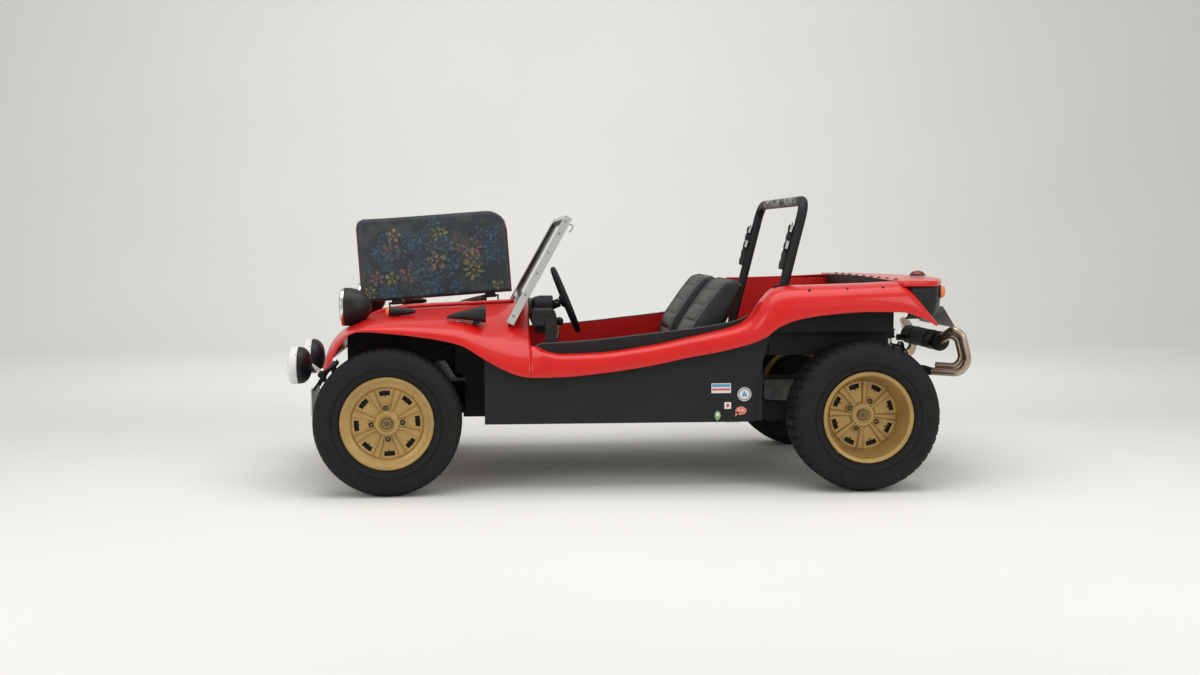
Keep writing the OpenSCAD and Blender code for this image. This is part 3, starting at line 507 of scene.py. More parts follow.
def body_tail():
    """Deck behind the rear wall, with a rounded edge turned down."""
    half = [(158, 597), (158, 726), (200, 722), (262, 712), (312, 694), (340, 662), (372, 590), (410, 490),
            (450, 376), (478, 240), (493, 110), (497, 0)]
    pts = smooth_path([(rx(b), y / 1000, 0) for b, y in half[1:]], 4)
    outline = [(p.x, p.y) for p in pts] + [(p.x, -p.y) for p in reversed(pts[:-1])]
    centre = Vector((rx(250), 0))
    rings = []
    for inset, z in ((0.004, 0.905), (0.0, 0.912), (0.0, 0.924), (0.003, 0.9285), (0.010, 0.9305)):
        moved = [Vector(p) + (centre - Vector(p)).normalized() * inset for p in outline]
        rings.append([(p.x, p.y, z) for p in moved])
    shape = Shape().grid(rings, wrap=True)
    mid = [((x + centre.x) / 2, y / 2, 0.9315) for x, y, _ in rings[-1]]
    shape.grid([rings[-1], mid], wrap=True).cap(mid)
    make("tail_deck_skin", shape, RED, replaces=["tail_deck"], thick=0.004, angle=50)


def tail_face():
    """Black panel under the deck's edge: a curved band from fender to fender."""
    half = [(200, 713), (262, 705), (312, 690), (340, 656), (372, 584), (410, 484), (450, 371), (478, 236),
            (493, 108), (496, 0)]
    pts = smooth_path([(rx(b), y / 1000, 0) for b, y in half], 4)
    line = [(p.x, p.y) for p in pts] + [(p.x, -p.y) for p in reversed(pts[:-1])]
    rows = []
    for z, lean in ((0.909, 0.003), (0.88, 0.0), (0.84, 0.001), (0.80, 0.006), (0.772, 0.014), (0.762, 0.022)):
        rows.append([(x + lean, y * (1 - lean * 0.6), z) for x, y in line])
    make("tail_panel_skin", Shape().grid(rows), PANEL, replaces=["tail_panel"], thick=0.006)


body_front()
body_side(1, "body_side_left_skin", "body_side_left")
body_side(-1, "body_side_right_skin", "body_side_right")
body_tail()
tail_face()

# ---------------------------------------------------------------- tub
WALL_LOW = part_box("tub_walls")[0].z
wall_top = pchip([420, 600, 665, 750, 1146, 1530, 1595],
                 [0.590, 0.600, 0.655, 0.658, 0.695, 0.750, 0.775])


def wall_outline(grow=0.0, inset=0.0):
    top = [(fx(b), wall_top(b) + grow) for b in spread(420 + inset, 1595, 60)]
    low = WALL_LOW + inset / 1000
    back = [(-400, 0.72), (-420, 0.65), (-445, 0.56), (-465, 0.48), (-478, 0.41), (-482, 0.30 + inset / 1000)]
    return top + [(rx(b) + inset / 1000, z) for b, z in back] + [(fx(420 + inset), low)]


shape = Shape()
shape.plate(wall_outline(), 0.6145, 0.6195)
# inner face of each wall: the red inside, darkened as painted shade
shape.plate(wall_outline(-0.002, 6), 0.612, 0.6145, 1)
# crease and rolled lower edge of the side panel
shape.rod((fx(420), 0.6155, 0.3045), (rx(-482), 0.6155, 0.3045), 0.0045, 0, n=10)
shape.box((fx(583), 0.6185, 0.305), (fx(578), 0.6205, 0.515), 0)
edge = [(fx(b), 0.6155, wall_top(b)) for b in spread(640, 1590, 60)]
shape.tube(edge, 0.0042, 2, n=8)
shape.mirrored()
make("tub_walls_skin", shape, [PANEL, RED_INSIDE_PAINTED_SHADE, TRIM], replaces=["tub_walls"], angle=30)

shape = Shape()
shape.box((fx(424.5), 0.352, 0.302), (fx(421.5), 0.612, 0.42))
shape.box((fx(420), 0.3463, 0.500), (fx(285), 0.3497, 0.655))
make("wheel_well_liners", shape.mirrored(), GRIP, bevel=0.0005)

# sheet that closes the tub behind the seats: floor strip, side pieces and the fronts of the rear wheel wells
RISER = rx(-440)
shape = Shape()
shape.box((RISER + 0.0006, 0.0, 0.3035), (max(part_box("floor_pan")[0].x, RISER + 0.004) + 0.012, 0.608, 0.3085))
shape.box((RISER + 0.0006, 0.515, 0.3085), (RISER + 0.0046, 0.608, 0.700))
shape.box((RISER + 0.0040, 0.6030, 0.3085), (RISER + 0.062, 0.6080, 0.690))
make("tub_rear_closing_sheet", shape.mirrored(), PANEL, bevel=0.0005)

for node, mat, bevel in (("footwells", GRIP, 0.002), ("floor_pan", GRIP, 0.002), ("front_tray", CHASSIS, 0.002),
                         ("fuel_tank", CHASSIS, 0.012), ("rear_arms", CHASSIS, 0.003),
                         ("bonnet_hinges", CHASSIS, 0.001), ("front_axle", CHASSIS, 0.0015),
                         ("knuckle_left", CAST, 0.0015), ("knuckle_right", CAST, 0.0015),
                         ("steering_rod", STEEL, 0.0015), ("rear_axle", CAST, 0.0015)):
    dress(node, mat, bevel)
# inner faces of the rear tub in the red darkened as painted shade, outer and under faces black
dress("rear_tub", RED_INSIDE_PAINTED_SHADE, 0.003, CHASSIS)


def rear_wall():
    """Padded rear wall of the tub; its top stands above the deck and carries a row of studs."""
    low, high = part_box("rear_wall")
    half = [(0.519, low.z), (0.519, 0.699), (0.597, 0.699), (0.597, 0.925)]
    half += [(y, 0.925 + 0.009 * (1 - (y / 0.6) ** 2)) for y in spread(0.597, 0, 14)]
    shape = Shape()
    shape.prism(half + [(-y, z) for y, z in reversed(half[:-1])], low.x, high.x, 0,
                placed((0, 1, 0), (0, 0, 1), (1, 0, 0), (0, 0, 0)))
    for y in spread(-0.52, 0.52, 9):
        shape.lathe([(0.010, 0), (0.010, 0.003), (0.006, 0.006), (0, 0.007)], 1,
                    turned((0, 0, 1), (low.x - 0.030, y, 0.930)), 14)
    make("rear_wall_pad", shape, [PANEL, LAMP], replaces=["rear_wall"], bevel=0.002)


rear_wall()


# ---------------------------------------------------------------- front lid with its printed lining
HINGE = joint("bonnet_hinge")
PIVOT = Vector(HINGE["pos_m"])
SLOPE = math.asin(HINGE["axis"][2])
OPEN = math.radians(HINGE["range_deg"][1])
LID_FRONT = -185.0
LID_LEN = (HATCH_REAR - 10 - LID_FRONT) / 1000 / math.cos(SLOPE)
LID_REACH = HATCH_Y + 0.216 + 0.006


def on_lid(p, q, h):
    """Point of the open lid: p back along the hinge, q away from it, h above the closed lid's line."""
    y, z = q * math.cos(OPEN) - h * math.sin(OPEN), q * math.sin(OPEN) + h * math.cos(OPEN)
    x = -p
    return PIVOT + Vector((x * math.cos(SLOPE) + z * math.sin(SLOPE), y, -x * math.sin(SLOPE) + z * math.cos(SLOPE)))


def lid_height(p):
    """Height of the bonnet's line above the hinge line, p along it."""
    back = LID_FRONT + p * math.cos(SLOPE) * 1000
    dz = nose_z(back) - PIVOT.z
    return dz * math.cos(SLOPE) - (back - LID_FRONT) / 1000 * math.sin(SLOPE)


def lid_side(p, inset):
    """How far the lid reaches from the hinge at p, with rounded corners."""
    r1, r2 = 0.042, 0.062
    top = LID_REACH - inset
    a, b = inset, LID_LEN - inset
    if p < a + r1:
        return top - r1 + math.sqrt(max(0, r1 ** 2 - (a + r1 - p) ** 2))
    if p > b - r2 * 1.6:
        t = (p - (b - r2 * 1.6)) / (r2 * 1.6)
        return top - 0.095 * (1 - math.sqrt(max(0, 1 - t * t)))
    return top


def lid_sheet(name, mat, lift, thick, inset, node):
    """A sheet over the whole lid; returns its free edge too."""
    end = LID_LEN - inset
    ps = spread(inset, inset + 0.042, 9) + spread(inset + 0.042, end - 0.1, 44)[1:] + spread(end - 0.1, end, 12)[1:]
    rows = [[on_lid(p, q, lid_height(p) + lift) for q in spread(0.014 + inset, lid_side(p, inset), 26)] for p in ps]
    obj = make(name, Shape().grid(rows), mat, "bonnet", [node], angle=40)
    thicken(obj, thick, 0)
    return obj, [row[-1] for row in rows]


lid_sheet("lid_skin", RED, 0.015, 0.005, 0.0, "bonnet_lid")
lining, free_edge = lid_sheet("lid_lining", LINING, 0.0065, 0.009, 0.003, "bonnet_lining")

# binding round the lining and the hinge knuckles
ring = [on_lid(0.018, q, lid_height(0.018) + 0.006) for q in spread(0.034, LID_REACH - 0.06, 8)]
ring += free_edge[1:-1]
ring += [on_lid(LID_LEN - 0.018, q, lid_height(LID_LEN) + 0.006) for q in spread(LID_REACH - 0.12, 0.034, 8)]
make("lid_binding", Shape().tube(ring, 0.0045, n=8), TRIM, "bonnet")
shape = Shape()
for p in (0.17, LID_LEN - 0.11):
    shape.rod(on_lid(p - 0.03, 0, 0), on_lid(p + 0.03, 0, 0), 0.008, n=24)
    corner = [on_lid(p + a, q, -0.006) for a, q in ((-0.026, 0.004), (0.026, 0.004), (0.026, 0.05), (-0.026, 0.05))]
    rise = on_lid(0, 0, 0.003) - on_lid(0, 0, 0)
    shape.between(corner, [c + rise for c in corner])
make("lid_hinge_leaves", shape, CHASSIS, "bonnet", bevel=0.0008)


def flower(shape, p, q, r, petals, twist, lift):
    """A flat printed flower: pointed petals round an eye."""
    def pt(a, d):
        pp, qq = p + d * math.cos(a), q + d * math.sin(a)
        return on_lid(pp, qq, lid_height(pp) + lift)
    half = math.pi / petals * 0.95
    for k in range(petals):
        a = twist + TAU * k / petals
        shape.cap([pt(a + half * side, r * out) for side, out in
                   ((0, 0.22), (-0.8, 0.55), (-0.5, 0.85), (0, 1), (0.5, 0.85), (0.8, 0.55))])
    shape.cap([pt(TAU * k / 8, r * 0.16) for k in range(8)])


def leaf(shape, p, q, length, turn, lift):
    def pt(u, v):
        pp = p + length * (u * math.cos(turn) - v * math.sin(turn))
        qq = q + length * (u * math.sin(turn) + v * math.cos(turn))
        return on_lid(pp, qq, lid_height(pp) + lift)
    shape.cap([pt(u, v) for u, v in ((0, 0), (0.3, 0.13), (0.7, 0.11), (1, 0), (0.7, -0.11), (0.3, -0.13))])


blooms = [Shape() for _ in FLOWERS]
spots = []
for row in range(6):
    for col in range(10):
        p = 0.045 + 0.66 * (col + 0.5 * (row % 2)) / 9.4 + random.uniform(-0.018, 0.018)
        q = 0.055 + 0.335 * row / 5 + random.uniform(-0.014, 0.014)
        if p > LID_LEN - 0.04 or q > lid_side(p, 0.02) - 0.02 or random.random() < 0.08:
            continue
        spots.append((p, q))
for i, (p, q) in enumerate(spots):
    kind = random.choice((0, 0, 0, 1, 2, 3, 4, 4))
    size = random.uniform(0.034, 0.056)
    size = min(size, p - 0.008, LID_LEN - 0.008 - p, lid_side(p, 0.006) - q, q - 0.020)
    if size > 0.014:
        flower(blooms[kind], p, q, size, random.choice((5, 6, 8)), random.random() * 3, 0.0014 - 0.0001 * (i % 5))
    u, v = p + random.uniform(-0.03, 0.03), q + random.uniform(-0.03, 0.03)
    if 0.06 < u < LID_LEN - 0.07 and 0.07 < v < lid_side(u, 0.03) - 0.05:
        leaf(blooms[4], u, v, random.uniform(0.035, 0.055), random.random() * TAU, 0.0006)
for shape, mat in zip(blooms, FLOWERS):
    make("print_" + mat.name.replace("petal_", ""), shape, mat, "bonnet")

# ---------------------------------------------------------------- windscreen
POST_LOW, POST_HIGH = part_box("windscreen_frame")
RAKE = math.radians(29)


def surface_at(back, y):
    """Height of the front body's surface."""
    if abs(y) <= HATCH_Y:
        return nose_z(back)
    curve = nose_control(back)
    return next(p.y for p in (bezier(curve, t / 200) for t in range(201)) if p.x >= abs(y))


def windscreen():
    up = Vector((-math.sin(RAKE), 0, math.cos(RAKE)))
    out = Vector((math.cos(RAKE), 0, math.sin(RAKE)))
    foot = Vector((POST_HIGH.x - 0.013, 0, POST_LOW.z + 0.008))
    length = (POST_HIGH.z - POST_LOW.z) / math.cos(RAKE) - 0.016
    m = placed(out, (0, 1, 0), up, foot)
    sill = (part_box("windscreen_glass")[0].z - foot.z) / math.cos(RAKE) + 0.002
    half = (POST_HIGH.y - POST_LOW.y) / 2
    # flat bars of the posts, outside the rubber, then the top bar and the lower one
    bars = Shape()
    bars.box((-0.019, half - 0.006, 0), (0.017, half, length), 0, m)
    bars.box((-0.010, half - 0.020, 0.02), (0.010, half - 0.006, length), 0, m)
    bars.mirrored()
    bars.box((-0.012, -half + 0.006, length - 0.020), (0.012, half - 0.006, length), 0, m)
    bars.box((-0.011, -half + 0.02, sill - 0.024), (0.011, half - 0.02, sill - 0.002), 0, m)
    make("windscreen_bars", bars, STEEL, replaces=["windscreen_frame"], bevel=0.002)
    # rubber round the pane, and a skirt from the lower bar down to the cowl
    side, low, top, r = half - 0.026, sill + 0.004, length - 0.026, 0.03
    path = []
    for cy, cz, start in ((side - r, low + r, -90), (side - r, top - r, 0), (-side + r, top - r, 90),
                          (-side + r, low + r, 180)):
        for t in spread(math.radians(start), math.radians(start + 90), 7):
            path.append(m @ Vector((0, cy + r * math.cos(t), cz + r * math.sin(t))))
    seal = Shape()
    seal.tube(path, 0, loop=True, section=[(-0.010, -0.009), (0.010, -0.009), (0.010, 0.009), (-0.010, 0.009)])
    skirt = []
    for y in spread(-half + 0.024, half - 0.024, 50):
        p = m @ Vector((0.0, y, sill - 0.024))
        cowl = surface_at((FRONT.x - p.x) * 1000, y)
        skirt.append([(p.x, y, p.z + 0.003), (p.x + (p.z - cowl) * math.tan(RAKE), y, min(cowl + 0.001, p.z))])
    seal.grid(skirt)
    make("windscreen_seal", seal, GRIP, thick=0.004)
    # bolts and hooks on the posts, clips along the top bar and latches on the lower one
    bolts = Shape()
    for f in (0.07, 0.27, 0.47, 0.66, 0.84, 0.95):
        bolts.lathe([(0.0065, 0), (0.0065, 0.002), (0.004, 0.0035), (0, 0.0036)], 0,
                    turned((0, 1, 0), m @ Vector((0.002, half - 0.0005, length * f))), 12)
    hook = [m @ Vector((x, half - 0.012, length - z)) for x, z in
            ((-0.020, 0.03), (-0.036, 0.028), (-0.040, 0.045), (-0.036, 0.062))]
    bolts.tube(smooth_path(hook, 4), 0.0028, 0, n=8)
    bolts.box((-0.024, 0.288, length - 0.016), (-0.012, 0.312, length - 0.002), 0, m)
    bolts.box((-0.022, 0.27, sill - 0.022), (-0.011, 0.33, sill - 0.006), 0, m)
    make("windscreen_fixings", bolts.mirrored(), CAST, bevel=0.0006)
    make("windscreen_pane", Shape().box((-0.0025, -side, low), (0.0025, side, top), 0, m), GLASS,
         replaces=["windscreen_glass"])


windscreen()


# ---------------------------------------------------------------- dashboard and steering
def dashboard():
    low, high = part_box("dashboard")
    x, half = low.x, 0.602
    shape = Shape()
    shape.plate([(x, 0.62), (x, 0.76), (x + 0.05, 0.78), (x + 0.05, 0.62)], half, 0.6115).mirrored()
    shape.plate([(high.x, 0.735), (high.x, 0.790), (high.x - 0.012, 0.803), (high.x - 0.085, 0.803),
                 (high.x - 0.100, 0.796), (x, 0.775), (x, 0.745), (x + 0.012, 0.735)], -half, half)
    # instrument pod with a deep bezel, its marks and its needle
    c = Vector((x + 0.004, middle("steering_wheel").y, 0.800))
    pod = turned((1, 0, 0), c)
    shape.lathe([(0.050, 0), (0.055, 0.004), (0.055, 0.060), (0.049, 0.085), (0.030, 0.099), (0, 0.100)], 0, pod,
                caps=False)
    shape.lathe([(0.0, 0.003), (0.044, 0.003), (0.046, 0.000), (0.050, 0.000)], 1, pod, 40, caps=False)
    for k in range(11):
        a = math.radians(-130 + 26 * k)
        d = Vector((0, math.sin(a), math.cos(a)))
        mark = c + Vector((0.001, 0, 0))
        shape.rod(mark + d * 0.030, mark + d * 0.040, 0.0012, 2, n=6)
    shape.rod(c, c + Vector((0.0, 0.02, 0.022)), 0.0014, 3, n=6)
    # switches, and a grab handle on the passenger's side
    for k in range(5):
        y = 0.10 - 0.045 * k
        shape.rod((x + 0.004, y, 0.765), (x, y, 0.766), 0.009, 2, n=14)
    shape.tube(smooth_path([(x + 0.02, -0.20, 0.765), (x + 0.003, -0.21, 0.765), (x + 0.003, -0.33, 0.765),
                            (x + 0.02, -0.34, 0.765)], 5), 0.006, 2, n=10)
    make("dashboard_skin", shape, [PANEL, INK, CHROME, ORANGE], replaces=["dashboard"],
         bevel=0.0015)


dashboard()

TURN = joint("steering_turn")
AXIS = Vector(TURN["axis"]).normalized()
AXIS = -AXIS if AXIS.x < 0 else AXIS  # forward and down the column
HUB = Vector(TURN["pos_m"])


def steering():
    low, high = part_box("steering_wheel")
    x = Vector((0, 0, -1))
    x = (x - AXIS * x.dot(AXIS)).normalized()
    m = placed(x, AXIS.cross(x), AXIS, HUB)
    r = (high.y - low.y) / 2 - 0.0135
    shape = Shape()
    for radius, height, thick, mat, n, sides in ((r, 0, 0.0128, 0, 72, 14), (0.029, 0.006, 0.005, 1, 28, 8)):
        shape.tube([m @ Vector((u, v, height)) for u, v in circle(radius, n)], thick, mat, loop=True, n=sides)
    shape.lathe([(0.030, -0.006), (0.033, 0.0), (0.033, 0.016), (0.022, 0.026), (0.0095, 0.028), (0.0095, 0.012)],
                0, m, 32)
    shape.lathe([(0.0, 0.010), (0.012, 0.011), (0.017, 0.008)], 1, m, 24)
    # three spokes, each of two strips
    for angle in (90, 210, 330):
        t = math.radians(angle)
        u, w = Vector((math.cos(t), math.sin(t), 0)), Vector((-math.sin(t), math.cos(t), 0))
        for s in (1, -1):
            pts = [u * a + w * s * b for a, b in
                   ((0.024, 0.010), (0.024, 0.017), (r - 0.004, 0.020), (r - 0.004, 0.008), (0.10, 0.005))]
            shape.between(*([p + Vector((0, 0, h)) for p in pts] for h in (-0.001, 0.003)), 2, m)
    make("steering_wheel_rim", shape, [GRIP, CHROME, STEEL], "handwheel", ["steering_wheel"],
         bevel=0.0006)

    def down(distance):
        return HUB + AXIS * distance

    housing = Vector((fx(-60), HUB.y - 0.04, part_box("steering_column")[0].z))
    c = Shape()
    c.rod(down(-0.0015), down(0.028), 0.0088, 1)
    c.lathe([(0.009, 0.028), (0.020, 0.030), (0.020, 0.150), (0.014, 0.160), (0.009, 0.163)], 0, m, 28)
    c.rod(down(0.16), down((housing.x + 0.02 - HUB.x) / AXIS.x), 0.0085)
    # universal joint, gear housing, indicator stalk
    c.rod(down(0.47), down(0.52), 0.015)
    c.box(housing + Vector((0.004, 0.002, 0.002)), housing + Vector((0.112, 0.078, 0.066)), 2)
    c.rod(housing + Vector((0.05, 0.04, 0.064)), housing + Vector((0.05, 0.04, 0.0695)), 0.02, 1)
    stalk = down(0.05)
    c.tube(smooth_path([stalk, stalk + Vector((0, 0.06, 0.008)), stalk + Vector((-0.012, 0.115, 0.010))], 5),
           0.0032, 1, n=8)
    c.ball(stalk + Vector((-0.012, 0.118, 0.010)), 0.007, 0, 12)
    make("steering_column_parts", c, [GRIP, STEEL, CAST], replaces=["steering_column"],
         bevel=0.001)


steering()


# ---------------------------------------------------------------- seats and controls
def padded_slab(front, back, y_mid, pleats, first, last, count=64, across=34):
    """A stuffed pad: front(t) and back(t) are lines in x-z, t runs from one end to the other."""
    rows = []
    for i in range(count + 1):
        t = i / count
        round_end = math.sqrt(max(0.0, 1 - (1 - min(1, min(t, 1 - t) / 0.07)) ** 2))
        f, b = Vector(front(t)), Vector(back(t))
        mid = (f + b) / 2
        f, b = mid.lerp(f, round_end), mid.lerp(b, round_end)
        ring = []
        for c, s in circle(1, across):
            # squared-off loop round the pad; the front face is where w is 1
            u = math.copysign(abs(c) ** 0.42, c)
            w = math.copysign(abs(s) ** 0.42, s)
            point = mid + (f - mid) * w if w > 0 else mid + (b - mid) * -w
            if w > 0.5:
                bolster = 0.016 * abs(u) ** 4
                groove = 0.0
                if abs(u) < 0.66 and first < t < last:
                    phase = (t - first) / (last - first) * pleats
                    groove = 0.010 * math.exp(-(((phase % 1) - 0.5) / 0.10) ** 2)
                seam = 0.008 * math.exp(-((abs(u) - 0.70) / 0.05) ** 2)
                point = point - (f - mid).normalized() * (0.018 - bolster + groove + seam)
            ring.append((point.x, y_mid + u * SEAT_HALF * (0.90 + 0.10 * round_end), point.y))
        rows.append(ring)
    return Shape().grid(rows, wrap=True).cap(rows[0]).cap(rows[-1])


def line_through(points):
    lengths = [0.0]
    pts = [Vector(p) for p in points]
    for a, b in zip(pts, pts[1:]):
        lengths.append(lengths[-1] + (b - a).length)
    keys = [v / lengths[-1] for v in lengths]
    cx, cz = pchip(keys, [p.x for p in pts]), pchip(keys, [p.y for p in pts])
    return lambda t: (cx(t), cz(t))


SEAT_Y, SEAT_HALF = 0.310, 0.228
SEAT_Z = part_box("seat_cushions")[0].z


def seat_line(*points):
    """Through points given back from the rear axle and above the seat's base, in mm."""
    return line_through([(rx(back), SEAT_Z + up / 1000) for back, up in points])


BACK_FRONT = line_through([(rx(-828), SEAT_Z + 0.155), (rx(-775), 0.694), (rx(-700), 0.815), (rx(-640), 0.893),
                           (rx(-612), 0.922), (rx(-578), 0.936)])
BACK_REAR = line_through([(rx(-700), SEAT_Z + 0.14), (rx(-640), 0.62), (rx(-590), 0.72), (rx(-545), 0.82),
                          (rx(-512), 0.90), (rx(-530), 0.926)])
PADS = (("back", BACK_FRONT, BACK_REAR, 4, 0.30, 0.92),
        ("cushion", seat_line((-835, 150), (-1000, 163), (-1200, 180), (-1268, 160)),
         seat_line((-835, 20), (-1000, 20), (-1200, 20), (-1268, 30)), 5, 0.12, 0.88))
for sign, side in ((1, "left"), (-1, "right")):
    for part, front_line, back_line, pleats, first, last in PADS:
        pad = make("seat_%s_%s" % (part, side),
                   padded_slab(front_line, back_line, sign * SEAT_Y, pleats, first, last), VINYL,
                   replaces=["seat_%ss" % part] if sign > 0 else [], angle=60)

# seat shells under and behind the pads
shape = Shape()
for outline in ([(rx(-835), SEAT_Z + 0.001), (rx(-1262), SEAT_Z + 0.001), (rx(-1268), SEAT_Z + 0.03),
                 (rx(-835), SEAT_Z + 0.03)],
                [(rx(-830), SEAT_Z + 0.001), (rx(-650), SEAT_Z + 0.001), (rx(-590), 0.67), (rx(-640), 0.67),
                 (rx(-745), SEAT_Z + 0.16), (rx(-830), SEAT_Z + 0.14)]):
    shape.plate(outline, SEAT_Y - 0.215, SEAT_Y + 0.215)
make("seat_shells", shape.mirrored(), GRIP, bevel=0.008)


def controls():
    top = 0.436  # of the tunnel
    shape = Shape()
    # gear lever with its boot and knob
    x0, x1 = fx(720), fx(780)
    shape.lathe([(0.024, 0), (0.024, 0.006), (0.020, 0.010), (0.021, 0.014), (0.015, 0.019), (0.015, 0.024),
                 (0.009, 0.030), (0.006, 0.034)], 0, turned((0, 0, 1), (x0, 0, top + 0.0003)), 28)
    shape.tube(smooth_path([(x0, 0, top + 0.02), (x0 - 0.012, 0, 0.53), (x1 + 0.006, 0, 0.64), (x1, 0, 0.70)], 6),
               0.0055, 1, n=12)
    shape.ball((x1, 0, 0.716), 0.0205, 0, 24)
    # handbrake
    shape.box((fx(1058), -0.012, top + 0.0005), (fx(992), 0.012, top + 0.045), 2)
    shape.rod((fx(1040), 0, top + 0.036), (fx(930), 0, top + 0.080), 0.006, 1)
    shape.rod((fx(935), 0, top + 0.078), (fx(862), 0, top + 0.107), 0.0088, 0)
    # pedals with ribbed pads
    for y in (0.160, 0.245, 0.325):
        shape.box((fx(493), y - 0.011, 0.3065), (fx(447), y + 0.011, 0.320), 2)
        shape.tube(smooth_path([(fx(470), y, 0.316), (fx(500), y, 0.40), (fx(520), y, 0.47)], 5), 0.0052, 1, n=10)
        shape.box((fx(524), y - 0.024, 0.461), (fx(519), y + 0.024, 0.519), 0)
        for k in range(5):
            z = 0.466 + 0.0115 * k
            shape.box((fx(525.5), y - 0.021, z), (fx(524), y + 0.021, z + 0.005), 0)
    make("driver_controls_parts", shape, [GRIP, CHROME, CAST], replaces=["driver_controls"],
         bevel=0.0006)


controls()


# ---------------------------------------------------------------- roll bar
def roll_bar():
    bar_low, bar_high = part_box("roll_bar")
    lean = math.radians(14)
    leg_y = bar_high.y - 0.023
    top = Vector((rx(-227), 0, bar_high.z - 0.023))
    out = Vector((math.sin(lean), 0, -math.cos(lean)))
    across = Vector((math.cos(lean), 0, math.sin(lean)))
    length = (top.z - bar_low.z - 0.004) / math.cos(lean)
    bend = 0.075
    path = [top + Vector((0, leg_y, 0)) + out * s for s in spread(length, bend, 10)]
    for a in spread(0, math.pi / 2, 10)[1:]:
        path.append(top + Vector((0, leg_y - bend + bend * math.cos(a), 0)) + out * (bend - bend * math.sin(a)))
    path += [Vector((p.x, -p.y, p.z)) for p in reversed(path)]
    foot = top + out * length
    shape = Shape()
    shape.box((foot.x - 0.036, leg_y - 0.058, bar_low.z + 0.0005),
              (foot.x + 0.036, leg_y + 0.021, bar_low.z + 0.0075))
    for x in (foot.x - 0.025, foot.x + 0.025):
        shape.rod((x, leg_y - 0.045, bar_low.z + 0.007), (x, leg_y - 0.045, bar_low.z + 0.013), 0.007, 1, n=6)
    shape.mirrored().tube(path, 0.0225, n=24)
    make("roll_bar_tube", shape, [PANEL, CAST], replaces=["roll_bar"], bevel=0.0008)
    rings = []
    for i, y in enumerate(spread(-leg_y + 0.10, leg_y - 0.10, 60)):
        rings.append([(x, y, z) for x, z in circle(0.0230 if i % 3 == 0 else 0.0227, 24, top.x, top.z)])
    make("roll_bar_tape", Shape().grid(rings, wrap=True), TAPE)
    # belts strapped along the legs: webbing, two buckles, a ring and a rolled end
    belts = Shape()
    base = top + Vector((0, leg_y - 0.004, 0)) + across * 0.0235
    web = [base + out * (0.125 + 0.006 * k) + across * (0.0035 + 0.0016 * math.sin(k * 0.9)) for k in range(35)]
    belts.tube(web, 0, section=[(-0.017, -0.0012), (0.017, -0.0012), (0.017, 0.0012), (-0.017, 0.0012)])
    for d, w, h, t in ((0.14, 0.015, 0.030, 0.010), (0.215, 0.018, 0.036, 0.012)):
        m = placed(across, (0, 1, 0), -out, base + out * d + across * 0.004)
        belts.box((0, -w, -h / 2), (t, w, h / 2), 1, m)
        belts.box((t * 0.2, -w * 0.4, -h * 0.9), (t * 0.6, w * 0.4, h * 0.9), 2, m)
    belts.tube([base + across * u + out * v for u, v in
                ((0.0075 + 0.0045 * c, 0.128 + 0.010 * s) for c, s in circle(1, 20))], 0.0018, 1, n=8, loop=True)
    end = base + out * 0.318 + across * 0.0065
    belts.rod(end - Vector((0, 0.016, 0)), end + Vector((0, 0.016, 0)), 0.0058, n=18)
    make("shoulder_belt_parts", belts.mirrored(), [WEB, CHROME, GRIP], replaces=["shoulder_belts"],
         bevel=0.0008)


roll_bar()


# ---------------------------------------------------------------- lamps, mirrors, plate
def headlamps():
    r, x, z = 0.0865, fx(-223), 0.810
    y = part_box("headlamps")[1].y - 0.0875
    m = turned((-1, 0, 0), (x, y, z))
    shape = Shape()
    bowl = [(r * math.cos(a), 0.026 + 0.112 * math.sin(a)) for a in spread(0, math.pi / 2, 16)[:-1]] + [(0.0, 0.138)]
    shape.lathe([(r - 0.001, 0.012), (r, 0.016)] + bowl, 0, m, 64)
    shape.lathe([(0.070, 0.0008), (0.078, 0.0004), (r, 0.006), (r + 0.0007, 0.011), (r, 0.017), (r - 0.006, 0.017)],
                1, m, 64, caps=False)
    shape.lathe([(0.072 * math.sin(a), 0.001 - 0.0050 * math.cos(a)) for a in spread(0, math.pi / 2, 8)], 2, m, 64)
    for k in range(9):
        u = -0.048 + 0.012 * k
        h = math.sqrt(0.066 ** 2 - u * u)
        shape.rod((x + 0.0036, y + u, z - h), (x + 0.0036, y + u, z + h), 0.0012, 2, n=6)
    shape.rod((fx(-130), y, 0.764), (fx(-130), y, 0.80), 0.0155)
    shape.lathe([(0.023, 0), (0.021, 0.006), (0.016, 0.010)], 0, turned((0, 0, 1), (fx(-130), y, 0.7645)), 24)
    make("headlamp_shells", shape.mirrored(), [LAMP, CHROME, LENS], replaces=["headlamps"],
         angle=32)


def fog_lamps():
    low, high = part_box("fog_lamps")
    half = (high.z - low.z) / 2
    r, x, y, z = half - 0.0008, high.x, high.y - half, low.z + half
    m = turned((-1, 0, 0), (x, y, z))
    shape = Shape()
    shape.lathe([(0.0, 0.0005), (0.03, 0.001), (0.060, 0.003), (0.076, 0.007), (0.0835, 0.013), (r, 0.022),
                 (r, 0.046), (r - 0.002, 0.048)], 1, m, 64)
    bowl = [((r - 0.002) * math.cos(a) ** 0.8, 0.054 + 0.052 * math.sin(a)) for a in spread(0, math.pi / 2, 14)[:-1]]
    shape.lathe([(r - 0.0015, 0.047), (r - 0.0015, 0.052)] + bowl + [(0.0, 0.106)], 0, m, 64)
    shape.rod((x - 0.098, y, z), (x - 0.1075, y, z), 0.012)
    for angle in (40, 140, 220, 320):
        t = math.radians(angle)
        clip = Vector((x, y + math.cos(t) * (r - 0.001), z + math.sin(t) * (r - 0.001)))
        shape.box(clip - Vector((0.050, 0.005, 0.004)), clip + Vector((-0.040, 0.005, 0.001)), 2)
    make("fog_lamp_shells", shape.mirrored(), [LAMP, WHITE, CHROME], replaces=["fog_lamps"],
         angle=32)


